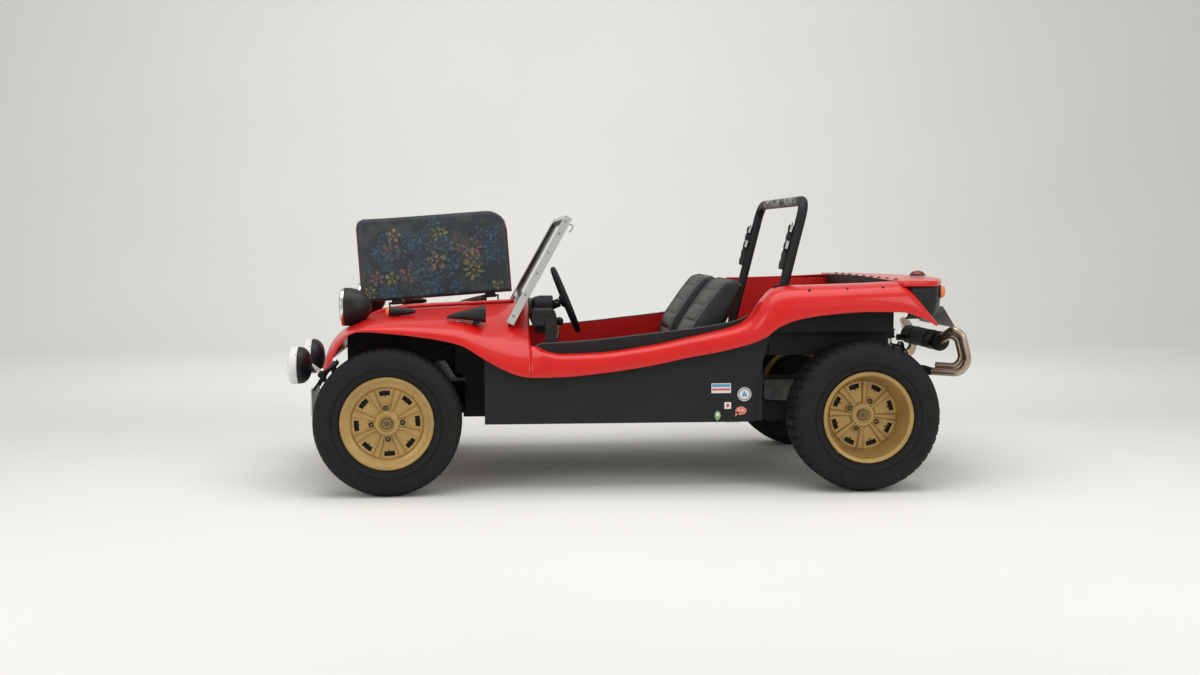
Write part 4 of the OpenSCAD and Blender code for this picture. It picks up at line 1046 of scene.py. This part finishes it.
def front_signals():
    low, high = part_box("front_signals")
    r = (high.z - low.z) / 2
    x, y, z = fx(0), high.y - r, low.z + r
    front = turned((1, 0, 0), (x, y, z))
    shape = Shape()
    for mat, m, profile in (
            (1, front, ((0.99, 0.0), (0.97, 0.006), (0.83, 0.012), (0.5, 0.0165), (0, 0.0178))),
            (0, front, ((0.995, -0.004), (1, 0.0), (0.99, 0.002))),
            (0, turned((-1, 0, 0), (x, y, z)),
             ((0.98, 0.0), (0.93, 0.03), (0.80, 0.062), (0.62, 0.092), (0.42, 0.113), (0, 0.1178)))):
        shape.lathe([(r * share, h) for share, h in profile], mat, m, 40)
    shape.box((fx(44), y - 0.008, low.z + 0.0005), (fx(8), y + 0.008, z - 0.008))
    make("front_signal_parts", shape.mirrored(), [LAMP, ORANGE], replaces=["front_signals"],
         bevel=0.001)


def mirrors():
    low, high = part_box("mirrors")
    y, front, rear = 0.575, fx(257), fx(427)
    rows = []
    for t in spread(0, 1, 23):
        x = front + (rear - front) * t
        top = 0.7755 + (high.z - 0.777) * t ** 0.72
        bottom = 0.766 - 0.020 * t ** 1.5
        half, cz, hz = 0.004 + 0.036 * t ** 0.75, (top + bottom) / 2, (top - bottom) / 2
        rows.append([(x, y + half * math.copysign(abs(c) ** 0.9, c), cz + hz * math.copysign(abs(w) ** 0.85, w))
                     for c, w in circle(1, 32)])
    glass = [(x + 0.0012, y + (yy - y) * 0.93, cz + (zz - cz) * 0.93) for x, yy, zz in rows[-1]]
    shape = Shape().grid(rows, wrap=True).cap(rows[0]).grid([rows[-1], glass], wrap=True).cap(glass, 1)
    shape.box((fx(399), y - 0.010, low.z + 0.0005), (fx(371), y + 0.010, 0.760))
    shape.box((fx(404), y - 0.016, low.z + 0.0003), (fx(366), y + 0.016, low.z + 0.004))
    shape.rod((fx(330), y, 0.7475), (fx(298), y, 0.7560), 0.004, 2, n=10)
    make("mirror_shells", shape.mirrored(), [LAMP, CHROME, CHROME], replaces=["mirrors"], angle=40)


def tail_lamps():
    """Round lamps on the tail, the dome on the deck and three snaps along each rear side."""
    a, b = Vector((rx(352), 0.636, 0.878)), Vector((rx(450), 0.376, 0.878))
    out = (b - a).cross(Vector((0, 0, 1))).normalized()
    out = -out if out.y < 0 else out
    m = turned(out, a.lerp(b, 0.16) + out * 0.0006)
    shape = Shape()
    shape.lathe([(0.0298, 0), (0.0298, 0.004), (0.0285, 0.006)], 1, m, 40)
    shape.lathe([(0.0280, 0.003), (0.0270, 0.014), (0.0220, 0.021), (0.012, 0.0245), (0, 0.0255)], 0, m, 40)
    shape.lathe([(0.0284, 0.009), (0.0284, 0.0105)], 0, m, 40)
    for back in (1840, 2010, 2170):
        z = belt_z(back) - 0.019
        y = next(p[1] for p in belt_section(back) if p[2] <= z)
        shape.lathe([(0.0055, -0.001), (0.0055, 0.0015), (0.003, 0.003), (0, 0.003)], 3,
                    turned((0, 1, 0.35), (fx(back), y, z)), 14)
    shape.mirrored()
    m = turned((0, 0, 1), (rx(460), 0, 0.9330))
    shape.lathe([(0.0395, 0), (0.0395, 0.005), (0.036, 0.007)], 3, m, 40)
    dome = [(0.036 * math.cos(t), 0.006 + 0.0195 * math.sin(t)) for t in spread(0, math.pi / 2, 9)[:-1]]
    shape.lathe(dome + [(0, 0.0255)], 2, m, 40)
    make("tail_lamp_parts", shape, [ORANGE, LAMP, DEEP_RED, PANEL], replaces=["tail_lamps"])


def number_plate():
    tilt = math.radians(32)
    m = placed((-math.cos(tilt), 0, math.sin(tilt)), (0, 1, 0), (math.sin(tilt), 0, math.cos(tilt)),
               (rx(498) - 0.0006, 0, 0.792))
    half, low, high, edge = 0.259, -0.1195, -0.0005, 0.003
    plate = Shape().box((0.0006, -half, low), (0.0030, half, high), 0, m)
    for y0, y1, z0, z1 in ((-half, half, low, low + edge), (-half, half, high - edge, high),
                           (-half, edge - half, low, high), (half - edge, half, low, high)):
        plate.box((0.0006, y0, z0), (0.0038, y1, z1), 1, m)
    make("number_plate_blank", plate, [WHITE, INK], replaces=["number_plate"])


for build in (headlamps, fog_lamps, front_signals, mirrors, tail_lamps, number_plate):
    build()


# ---------------------------------------------------------------- front gear
def bracket():
    bar_x, bar_z = fx(-330), 0.493
    shape = Shape()
    shape.box((bar_x - 0.012, 0.1905, 0.4455), (fx(-185), 0.2095, 0.4565))
    shape.box((bar_x - 0.012, 0.1905, 0.450), (bar_x + 0.012, 0.2095, bar_z))
    shape.rod((bar_x, 0.239, bar_z + 0.002), (fx(-378), 0.239, 0.533), 0.009, 1, n=14)
    shape.lathe([(0.015, 0), (0.015, 0.004), (0.009, 0.009)], 1, turned((0, 0, 1), (bar_x, 0.239, bar_z + 0.0135)), 6)
    shape.rod((fx(-389), 0.100, 0.400), (bar_x, 0.100, bar_z), 0.0058, n=14)
    # blank number plate's holder: a square with a round hole on each side, and the sheet round both squares
    back, front = fx(-392), fx(-398) - 0.0002
    hole_y, hole_z, side = 0.120, 0.330, 0.0292
    hole, ring = circle(0.00325, 16, hole_y, hole_z), circle(0.024, 16, hole_y, hole_z)
    square = []
    for y, z in ring:
        k = side / max(abs(y - hole_y), abs(z - hole_z))
        square.append((hole_y + (y - hole_y) * k, hole_z + (z - hole_z) * k))

    def at(x, outline):
        return [(x, y, z) for y, z in outline]

    for x in (back, front):
        shape.grid([at(x, hole), at(x, ring), at(x, square)], 2, wrap=True)
    shape.grid([at(back, hole), at(front, hole)], 2, wrap=True)
    shape.mirrored().rod((bar_x, -0.299, bar_z), (bar_x, 0.299, bar_z), 0.0148, n=24)
    for x in (back, front):
        for half, low, high in ((0.1495, 0.3592, 0.4095), (0.1495, 0.2805, 0.3008), (0.0908, 0.3008, 0.3592)):
            shape.cap(at(x, [(-half, low), (half, low), (half, high), (-half, high)]), 2)
    edge = [(-0.1495, 0.2805), (0.1495, 0.2805), (0.1495, 0.4095), (-0.1495, 0.4095)]
    shape.grid([at(back, edge), at(front, edge)], 2, wrap=True)
    make("front_bracket_parts", shape, [CHASSIS, STEEL, WHITE], replaces=["front_bracket"])


bracket()

# clamps along the two tubes of the front axle, and the screws of the brake drums
shape = Shape()
for z in (0.311, 0.451):
    for y in (0.24, 0.405):
        shape.rod((fx(-150), y - 0.008, z), (fx(-150), y + 0.008, z), 0.0295, 1, n=24)
make("front_axle_clamps", shape.mirrored(), [CHASSIS, STEEL])
for s, side in ((1, "left"), (-1, "right")):
    hub = middle("tyre_front_" + side)
    drum = Shape()
    for x, z in circle(0.095, 10, hub.x, hub.z):
        drum.rod((x, s * 0.640, z), (x, s * 0.636, z), 0.005, n=8)
    make("knuckle_screws_" + side, drum, STEEL, "hub_" + side)


# ---------------------------------------------------------------- engine and exhaust
def engine():
    """Flat four with its shroud; all places are from the middle of the CAD block's underside."""
    low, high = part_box("engine_block")
    origin = Vector(((low.x + high.x) / 2, 0, low.z))
    back, front, side = low.x - origin.x, high.x - origin.x, high.y
    shape = Shape()
    case, black, steel, rubber = range(4)

    def at(x, y, z):
        return origin + Vector((x, y, z))

    def box(x0, x1, y0, y1, z0, z1, mat=case):
        shape.box(at(x0, y0, z0), at(x1, y1, z1), mat)

    # one side: cylinders with cooling fins, head, rocker cover, intake pipe, carburettor and leads
    for x in (-0.055, 0.055):
        for k in range(11):
            y = 0.118 + 0.0105 * k
            shape.rod(at(x, y, 0.110), at(x, y + 0.0035, 0.110), 0.051, n=28)
        shape.rod(at(x, 0.108, 0.110), at(x, 0.236, 0.110), 0.040, n=24)
    for k in range(4):
        y = 0.234 + 0.009 * k
        box(-0.112, 0.112, y, y + 0.005, 0.062, 0.158)
    box(-0.104, 0.104, 0.232, 0.268, 0.068, 0.150)
    box(-0.100, 0.100, 0.266, side - 0.001, 0.064, 0.146, black)
    box(-0.108, 0.108, 0.262, 0.268, 0.058, 0.152)
    shape.tube(smooth_path([at(-0.02, 0.20, 0.155), at(-0.02, 0.195, 0.215), at(0.005, 0.12, 0.238),
                            at(0.01, 0.02, 0.245)], 6), 0.016, steel)
    x = front - 0.052
    shape.tube(smooth_path([at(x, 0.232, 0.165), at(x, 0.232, 0.195), at(x - 0.008, 0.226, 0.220)], 5), 0.015)
    box(x - 0.036, x + 0.020, 0.210, 0.254, 0.219, 0.269)
    shape.rod(at(x - 0.020, 0.232, 0.269), at(x - 0.020, 0.232, 0.297), 0.016, steel, 0.022, 24)
    shape.rod(at(x + 0.010, 0.232, 0.269), at(x + 0.010, 0.232, 0.285), 0.008, steel, n=16)
    shape.tube(smooth_path([at(x, 0.254, 0.245), at(x - 0.03, 0.272, 0.235), at(x - 0.09, 0.262, 0.185),
                            at(x - 0.12, 0.242, 0.210)], 6), 0.0035, steel, n=8)
    shape.mirrored()
    # crankcase, ribbed sump and the round air cleaner
    box(back + 0.045, front - 0.002, -0.11, 0.11, 0.002, 0.185)
    box(back + 0.050, front - 0.03, -0.095, 0.095, 0.0005, 0.02)
    for k in range(9):
        y = -0.09 + 0.0225 * k
        box(back + 0.052, front - 0.035, y - 0.002, y + 0.002, 0.0, 0.012)
    box(-0.030, 0.045, -0.035, 0.035, 0.235, 0.285)
    shape.rod(at(0.008, 0, 0.284), at(0.008, 0, 0.292), 0.062, black, n=40)
    shape.rod(at(0.008, 0, 0.292), at(0.008, 0, 0.322), 0.058, black, n=40)
    shape.lathe([(0.064, 0.0), (0.064, 0.004), (0.02, 0.0075), (0.0, 0.0078)], black,
                turned((0, 0, 1), at(0.008, 0, 0.3218)), 40)
    # upright fan shroud across the engine, with the dynamo, two pulleys and the belt
    outline = [(0.128 * math.cos(a), 0.200 + 0.125 * math.sin(a)) for a in spread(0, math.pi, 21)]
    outline += [(-0.150, 0.175), (-0.232, 0.160), (-0.232, 0.140), (0.232, 0.140), (0.232, 0.160), (0.150, 0.175)]
    shape.between(*([at(x, y, z) for y, z in outline] for x in (front - 0.098, front - 0.020)), black)
    shape.rod(at(front - 0.096, 0, 0.215), at(back + 0.058, 0, 0.215), 0.036, n=32)
    for z, r in ((0.215, 0.052), (0.085, 0.070)):
        shape.lathe([(r, 0.0), (r - 0.010, 0.004), (r - 0.010, 0.010), (r, 0.014)], steel,
                    turned((-1, 0, 0), at(back + 0.052, 0, z)), 40)
        shape.rod(at(back + 0.038, 0, z), at(back + 0.030, 0, z), 0.014, steel, n=6)
    belt = [at(back + 0.045, r * math.cos(a), z + r * math.sin(a)) for r, z, first, last, n in
            ((0.045, 0.215, 0.1, math.pi - 0.1, 12), (0.063, 0.085, math.pi - 0.1, TAU + 0.1, 14))
            for a in spread(first, last, n)]
    shape.tube(belt, 0.005, rubber, loop=True, n=8)
    # distributor with its four leads, and the flange to the gearbox
    shape.rod(at(0.035, -0.075, 0.18), at(0.035, -0.075, 0.235), 0.022, n=24)
    shape.rod(at(0.035, -0.075, 0.235), at(0.035, -0.075, 0.265), 0.028, rubber, 0.022, 24)
    for s in (1, -1):
        for x in (-0.05, 0.05):
            shape.tube(smooth_path([at(0.035, -0.075 + s * 0.012, 0.262), at(0.03, s * 0.10 - 0.02, 0.27),
                                    at(x, s * 0.19, 0.24), at(x, s * 0.225, 0.16)], 6), 0.0038, rubber, n=8)
    shape.rod(at(front - 0.020, 0, 0.115), at(front - 0.0005, 0, 0.115), 0.112, n=48)
    make("engine_parts", shape, [CAST, PANEL, STEEL, GRIP], replaces=["engine_block"],
         bevel=0.0012)


engine()


def rounded_corners(points, radius):
    """A path with its corners rounded off."""
    pts = [Vector(p) for p in points]
    run = [pts[0]]
    for a, b, c in zip(pts, pts[1:], pts[2:]):
        cut = min(radius, (a - b).length * 0.45, (c - b).length * 0.45)
        p, q = b + (a - b).normalized() * cut, b + (c - b).normalized() * cut
        run += [p * (1 - t) ** 2 + b * 2 * t * (1 - t) + q * t * t for t in spread(0, 1, 7)]
    return run + [pts[-1]]


def exhaust():
    back, engine_back = rx(600) + 0.0198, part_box("engine_block")[0].x + 0.002
    run = rounded_corners([(rx(430), 0.330, 0.490), (back + 0.040, 0.400, 0.488), (back, 0.400, 0.540),
                           (back + 0.032, 0.400, 0.668), (rx(510), 0.380, 0.690), (rx(500), 0.235, 0.640)], 0.045)
    centre = Vector((rx(505), 0.335, 0.590))
    shape = Shape().tube(run, 0.0183, 1, n=24)
    # a smaller bend inside it, the cut end, and the links to the engine
    shape.tube([centre + (p - centre) * 0.72 - Vector((0, 0.012, 0)) for p in run], 0.0150, 1, n=20)
    shape.rod(run[0] + Vector((0.014, -0.010, 0)), run[0], 0.0190, 2, n=24)
    shape.rod((rx(500), 0.200, 0.612), (engine_back, 0.200, 0.612), 0.016, 2, n=20)
    shape.tube(smooth_path([run[0], run[0] + Vector((0.04, -0.03, 0.01)), (engine_back + 0.03, 0.262, 0.475)], 5),
               0.0175, 2, n=20)
    shape.mirrored()
    # silencer with its two bands
    half = [(0.016, 0.2495), (0.030, 0.2490), (0.043, 0.243), (0.0475, 0.232), (0.0475, 0.224), (0.0462, 0.220)]
    shape.lathe([(r, -h) for r, h in half] + half[::-1], 0, turned((0, 1, 0), (rx(500), 0, 0.625)), 48)
    for y in (-0.12, 0.12):
        shape.lathe([(0.0465, -0.011), (0.0478, -0.009), (0.0478, 0.009), (0.0465, 0.011)], 2,
                    turned((0, 1, 0), (rx(500), y, 0.625)), 48)
    make("exhaust_pipes", shape, [GRIP, BRONZE, CHASSIS], replaces=["exhaust"], angle=50)


exhaust()


# ---------------------------------------------------------------- wheels
def spoke_height(r, t):
    """Height of the wheel's centre at a radius and an angle from the middle of a pocket."""
    fall = 0.0005 + 0.0035 * (r - 0.05) / 0.1
    if r < 0.0364:
        return -0.0080
    if r < 0.0485:
        return -0.0005
    if r > 0.1535:
        return -0.0150
    if abs(abs(t) - RIDGE) < 0.01:
        return -fall
    if abs(t) > RIDGE:
        return -fall - 0.004
    return -0.0040 if r < 0.0540 else -0.0125 if r < 0.149 else -0.0100


RIDGE, SLOT = math.radians(17), math.radians(10)
POCKET = [0, 4, 8, 10, 12.5, 15.3, 17, 18.7, 20.5]  # degrees from the middle of a pocket
POCKET = [math.radians(t) for t in [-22.5] + [-t for t in POCKET[:0:-1]] + POCKET]
SLOT_IN, SLOT_OUT = 0.1215, 0.1425


def rim(axle, side):
    s = 1 if side == "left" else -1
    front = axle == "front"
    node = "rim_%s_%s" % (axle, side)
    low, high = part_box(node)
    centre = (low + high) / 2
    lip = (high.z - low.z) / 2 - 0.0004
    width = high.y - low.y
    m = turned((0, s, 0), (centre.x, high.y if s > 0 else low.y, centre.z))
    d = -0.014 if front else -0.095  # depth of the disc behind the lip
    disc = 0.158 if front else 0.157
    inner = lip - 0.024
    # the rolled lip and the barrel seen from both sides
    prof = [(lip - 0.004, -0.014), (lip, -0.010), (lip, -0.004), (lip - 0.004, -0.0006), (lip - 0.011, -0.0020),
            (lip - 0.018, -0.008)]
    if front:
        prof += [(disc + 0.010, -0.020), (disc + 0.002, d - 0.009)]
    else:
        prof += [(lip - 0.022, -0.022), (lip - 0.028, -0.050), (lip - 0.034, -0.074), (disc + 0.004, d - 0.004)]
    prof += [(disc, d - 0.0135), (disc - 0.004, d - 0.0165), (disc + 0.004, d - 0.024),
             (inner - 0.004, -min(width * 0.55, 0.08 - d)), (inner - 0.004, 0.030 - width),
             (lip - 0.012, 0.012 - width), (lip - 0.001, 0.008 - width), (lip - 0.0005, 0.001 - width),
             (lip - 0.007, 0.001 - width), (lip - 0.008, 0.012 - width), (inner + 0.004, 0.030 - width),
             (inner + 0.0035, -0.020), (lip - 0.006, -0.012)]
    wheel = Shape().lathe(prof, 0, m, 96, closed=True)
    # wheel centre: eight trapezoid pockets between pairs of ridges, each with a slot through it
    start = math.radians(4 if front else 18)
    middles = [start + TAU / 8 * k for k in range(8)]
    radii = [0.036, 0.0365, 0.043, 0.048, 0.053, 0.060, 0.070, 0.082, 0.094, 0.106, SLOT_IN, SLOT_OUT, 0.147, 0.151,
             0.154, disc - 0.0002]
    rows = [[(r * math.cos(a + t), r * math.sin(a + t), d + spoke_height(r, t)) for a in middles for t in POCKET]
            for r in radii]
    cut = [j for j, t in enumerate(POCKET) if -SLOT - 1e-6 <= t < SLOT - 1e-6]
    wheel.grid(rows, 0, m, wrap=True,
               skip=lambda i, j: i == radii.index(SLOT_IN) and j % len(POCKET) in cut)
    for a in middles:
        edge = [(r * math.cos(a + t), r * math.sin(a + t)) for r, t in
                [(SLOT_IN, t) for t in (-SLOT, 0, SLOT)] + [(SLOT_OUT, t) for t in (SLOT, 0, -SLOT)]]
        # walls of each slot in the darker gold: painted shade
        wheel.grid([[(x, y, d - h) for x, y in edge] for h in (0.0125, 0.0205)], 1, m, wrap=True)
    # four bolts in their seats, their heads in the darker gold of painted shade
    for x, y in circle(0.067, 4):
        turn = Matrix.Rotation(start + (0 if front else TAU / 8), 4, "Z")
        bolt = turned((0, s, 0), m @ turn @ Vector((x, y, d - 0.0126)))
        for mat, n, profile in (
                (0, 32, [(0.0190, 0), (0.0185, 0.0085), (0.0165, 0.0100), (0.0135, 0.0095), (0.0125, 0.0015),
                         (0, 0.0015)]),
                (3, 24, [(0.0122, 0.0016), (0.0122, 0.0022), (0.0, 0.0022)]),
                (1, 6, [(0.0085, 0.002), (0.0083, 0.0070), (0.005, 0.0078), (0, 0.0078)])):
            wheel.lathe(profile, mat, bolt, n, caps=False)
    # the middle's floor, its cap with a plain ring (the cap in the darker gold of painted shade), and the drum behind
    # the disc
    for mat, n, profile in (
            (0, 40, [(0.0, -0.0080), (0.036, -0.0080)]),
            (1, 40, [(0.026, -0.0081), (0.026, -0.0030), (0.023, -0.0008), (0.012, -0.0004), (0, -0.0004)]),
            (0, 40, [(0.0165, -0.0006), (0.0160, 0.0), (0.0140, 0.0), (0.0135, -0.0006)])):
        wheel.lathe([(r, d + h) for r, h in profile], mat, m, n, caps=False)
    wheel.lathe([(disc - 0.003, d - 0.0275), (disc - 0.004, d - 0.0262), (0.04, d - 0.0262)], 3, m, 64)
    make(node + "_cast", wheel, [GOLD, GOLD_PAINTED_SHADE, STEEL, CHASSIS], "wheel_%s_%s" % (axle, side),
         [node], angle=30)


def tyre(axle, side):
    front = axle == "front"
    node = "tyre_%s_%s" % (axle, side)
    low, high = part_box(node)
    r_out = (high.z - low.z) / 2
    w = (high.y - low.y) / 2
    m = turned((0, 1, 0), (low + high) / 2)
    bead = 0.2045
    r = r_out - (0.0065 if front else 0.0085)  # bottom of the tread's grooves
    half = [(bead, w * 0.74), (bead + 0.002, w * 0.84), (bead + 0.010, w * 0.905), (bead + 0.014, w * 0.895),
            (bead + 0.024, w * 0.955), (bead + 0.046, w * 0.985), (bead + 0.050, w * 0.975),
            (bead + 0.060, w * 0.988), (r - 0.040, w * 0.965), (r - 0.022, w * 0.915), (r - 0.009, w * 0.83),
            (r - 0.002, w * 0.70), (r, w * 0.45), (r, w * 0.15)]
    inside = [(bead + 0.006, w * 0.66), (bead + 0.03, w * 0.80), (r - 0.035, w * 0.85), (r - 0.016, w * 0.5)]
    prof = half + [(a, -b) for a, b in reversed(half)] + [(a, -b) for a, b in inside] + [(r - 0.014, 0)]
    shape = Shape().lathe(prof + inside[::-1], 0, m, 120, closed=True)
    # raised ribs on the side walls
    for q in (1, -1):
        for radius, place in ((bead + 0.030, 0.972), (bead + 0.036, 0.980)):
            shape.lathe(circle(0.0016, 6, radius, q * w * place), 0, m, 96, closed=True)

    def block(corners):
        """Tread block from eight (radius, angle, height) corners."""
        shape.add([(rr * math.cos(a), rr * math.sin(a), h) for rr, a, h in corners], CUBE, 0, m)

    def lug(a, h0, h1, top, skew):
        wide, narrow = 0.42 * pitch, 0.42 * pitch * (1 - 2 * 0.06)
        block([(rr, a + lean + k * half_width, h) for rr, half_width in ((r - 0.006, wide), (top, narrow))
               for h, lean in ((h0, 0.0), (h1, skew)) for k in (-1, 1)])

    count = 60 if front else 46
    pitch = TAU / count
    # plates of a shoulder block: from and to a share of the half width, then top and bottom radii
    plates = [(0.56, 0.72, r_out - 0.0015, r_out - 0.0075, r - 0.012),
              (0.72, 0.86, r_out - 0.0075, r_out - 0.024, r - 0.024),
              (0.86, 0.935, r_out - 0.024, r_out - 0.044, r - 0.040)]
    for k in range(count):
        a = pitch * k
        for q in (1, -1):
            b = a + (pitch / 2 if q < 0 else 0.0)
            wide = pitch * (0.80 if k % 2 else 0.74) / 2
            for from_w, to_w, top, next_top, bottom in plates:
                block([(rr, b + turn, q * h) for rr, h in
                       ((top, w * from_w), (next_top, w * to_w), (bottom, w * from_w),
                        (bottom - 0.010, w * (to_w - 0.02))) for turn in (-wide, wide)])
            lug(b, q * w * 0.20, q * w * 0.50, r_out - 0.0003, q * pitch * 0.22)
        lug(a, -w * 0.13, w * 0.13, r_out, pitch * 0.15)
    make(node + "_rubber", shape, RUBBER, "wheel_%s_%s" % (axle, side), [node], angle=32)


for build in (rim, tyre):
    for axle in ("front", "rear"):
        for side in ("left", "right"):
            build(axle, side)


# ---------------------------------------------------------------- badges on the side panels
def badges():
    """Invented marks in the scale and colours of the stickers low on each side panel."""
    face = TUB_Y + 0.0009
    shape = Shape()

    def patch(x, z, points, mat, lift=0.0004):
        shape.between(*([(x + u, face + lift - y, z + v) for u, v in points] for y in (0, 0.0003)), mat)

    def disc(r, n=28, sx=1.0, sz=1.0):
        return [(x * sx, z * sz) for x, z in circle(r, n)]

    def rect(w, h):
        return [(-w / 2, -h / 2), (w / 2, -h / 2), (w / 2, h / 2), (-w / 2, h / 2)]

    # striped patch
    x, z = fx(1470), 0.452
    patch(x, z, rect(0.088, 0.044), 0)
    patch(x, z + 0.012, rect(0.082, 0.013), 1, 0.0007)
    patch(x, z - 0.006, rect(0.082, 0.008), 2, 0.0007)
    # round badge with a ring and a triangle
    x, z = fx(1575), 0.424
    patch(x, z, disc(0.031), 0)
    patch(x, z, disc(0.027), 3, 0.0006)
    patch(x, z, disc(0.0235), 0, 0.0008)
    patch(x, z, [(-0.014, -0.010), (0.014, -0.010), (0.0, 0.015)], 1, 0.0010)
    # small square with a dot, a coral drop and a green sprig
    x, z = fx(1500), 0.374
    patch(x, z, rect(0.030, 0.030), 0)
    patch(x, z, disc(0.008), 2, 0.0007)
    x, z = fx(1560), 0.350
    patch(x, z, disc(0.022, 24, 1.15, 0.85), 4)
    patch(x + 0.015, z - 0.015, [(-0.010, 0.008), (0.008, 0.010), (0.012, -0.012)], 4)
    patch(x - 0.006, z + 0.003, disc(0.004), 0, 0.0007)
    patch(x + 0.008, z + 0.003, disc(0.004), 0, 0.0007)
    x, z = fx(1455), 0.330
    patch(x, z, disc(0.017, 24, 0.8, 1.2), 5)
    patch(x, z + 0.004, disc(0.008), 0, 0.0007)
    patch(x + 0.004, z - 0.026, rect(0.004, 0.018), 5)
    # dark bar of plain dashes
    for k in range(7):
        patch(fx(1492) - 0.010 * k, 0.302, rect(0.0065, 0.009 if k % 2 else 0.006), 3)
    make("side_badges", shape.mirrored(), [PAPER, BLUE, RED_INK, INK, CORAL, GREEN])


badges()


# ---------------------------------------------------------------- floor, light and camera
def stage():
    """Floor that curves up into a backdrop."""
    half, back, bend, top = 26.0, -7.0, 3.2, 14.0
    prof = [(back - bend * math.sin(a), bend - bend * math.cos(a)) for a in spread(0, math.pi / 2, 13)]
    prof = [(12.0, 0.0)] + prof + [(back - bend, top)]
    floor = Shape().grid([[(x, y, z - 0.0006) for x in (-half, half)] for y, z in prof])
    mesh = bpy.data.meshes.new("studio_floor")
    mesh.from_pydata(floor.verts, [], floor.faces)
    mesh.materials.append(FLOOR)
    mesh.polygons.foreach_set("use_smooth", [True] * len(mesh.polygons))
    linked(bpy.data.objects.new("studio_floor", mesh))


FLOOR = material("studio_grey", (0.84, 0.835, 0.81), rough=0.8, vary=0.012, scale=0.7)
stage()


def lamp(name, place, aim, size, power, size_y=None):
    data = bpy.data.lights.new(name, "AREA")
    data.shape = "RECTANGLE"
    data.size, data.size_y = size, size_y or size
    data.energy = power
    obj = linked(bpy.data.objects.new(name, data))
    obj.location = place
    obj.rotation_euler = (Vector(aim) - Vector(place)).to_track_quat("-Z", "Y").to_euler()


lamp("soft_top", (0.0, 0.8, 4.6), (0.0, 0.0, 0.3), 5.2, 135, 3.6)
lamp("soft_left", (-3.6, 4.6, 2.8), (0.0, 0.0, 0.5), 2.6, 62)
lamp("soft_right", (4.0, 4.2, 2.4), (0.2, 0.0, 0.5), 2.4, 52)
lamp("soft_wall", (0.0, -3.0, 4.6), (0.0, -9.5, 2.6), 7.0, 170, 3.0)

world = bpy.data.worlds.new("studio")
bpy.context.scene.world = world
world.use_nodes = True
sky = world.node_tree.nodes["Background"]
sky.inputs["Color"].default_value = (1.0, 0.985, 0.95, 1)
sky.inputs["Strength"].default_value = 0.55

yaw, pitch = math.radians(4.674), math.radians(4.3405)
camera = bpy.data.cameras.new("photo_view")
camera.sensor_width = 36
camera.lens = 39.454
view = linked(bpy.data.objects.new("photo_view", camera))
ahead = Vector((-math.sin(yaw) * math.cos(pitch), -math.cos(yaw) * math.cos(pitch), -math.sin(pitch)))
view.location = (FRONT.x - 0.45698, 6.38391, 1.12073)
view.rotation_euler = ahead.to_track_quat("-Z", "Y").to_euler()
bpy.context.scene.camera = view
bpy.context.scene.view_settings.view_transform = "Standard"
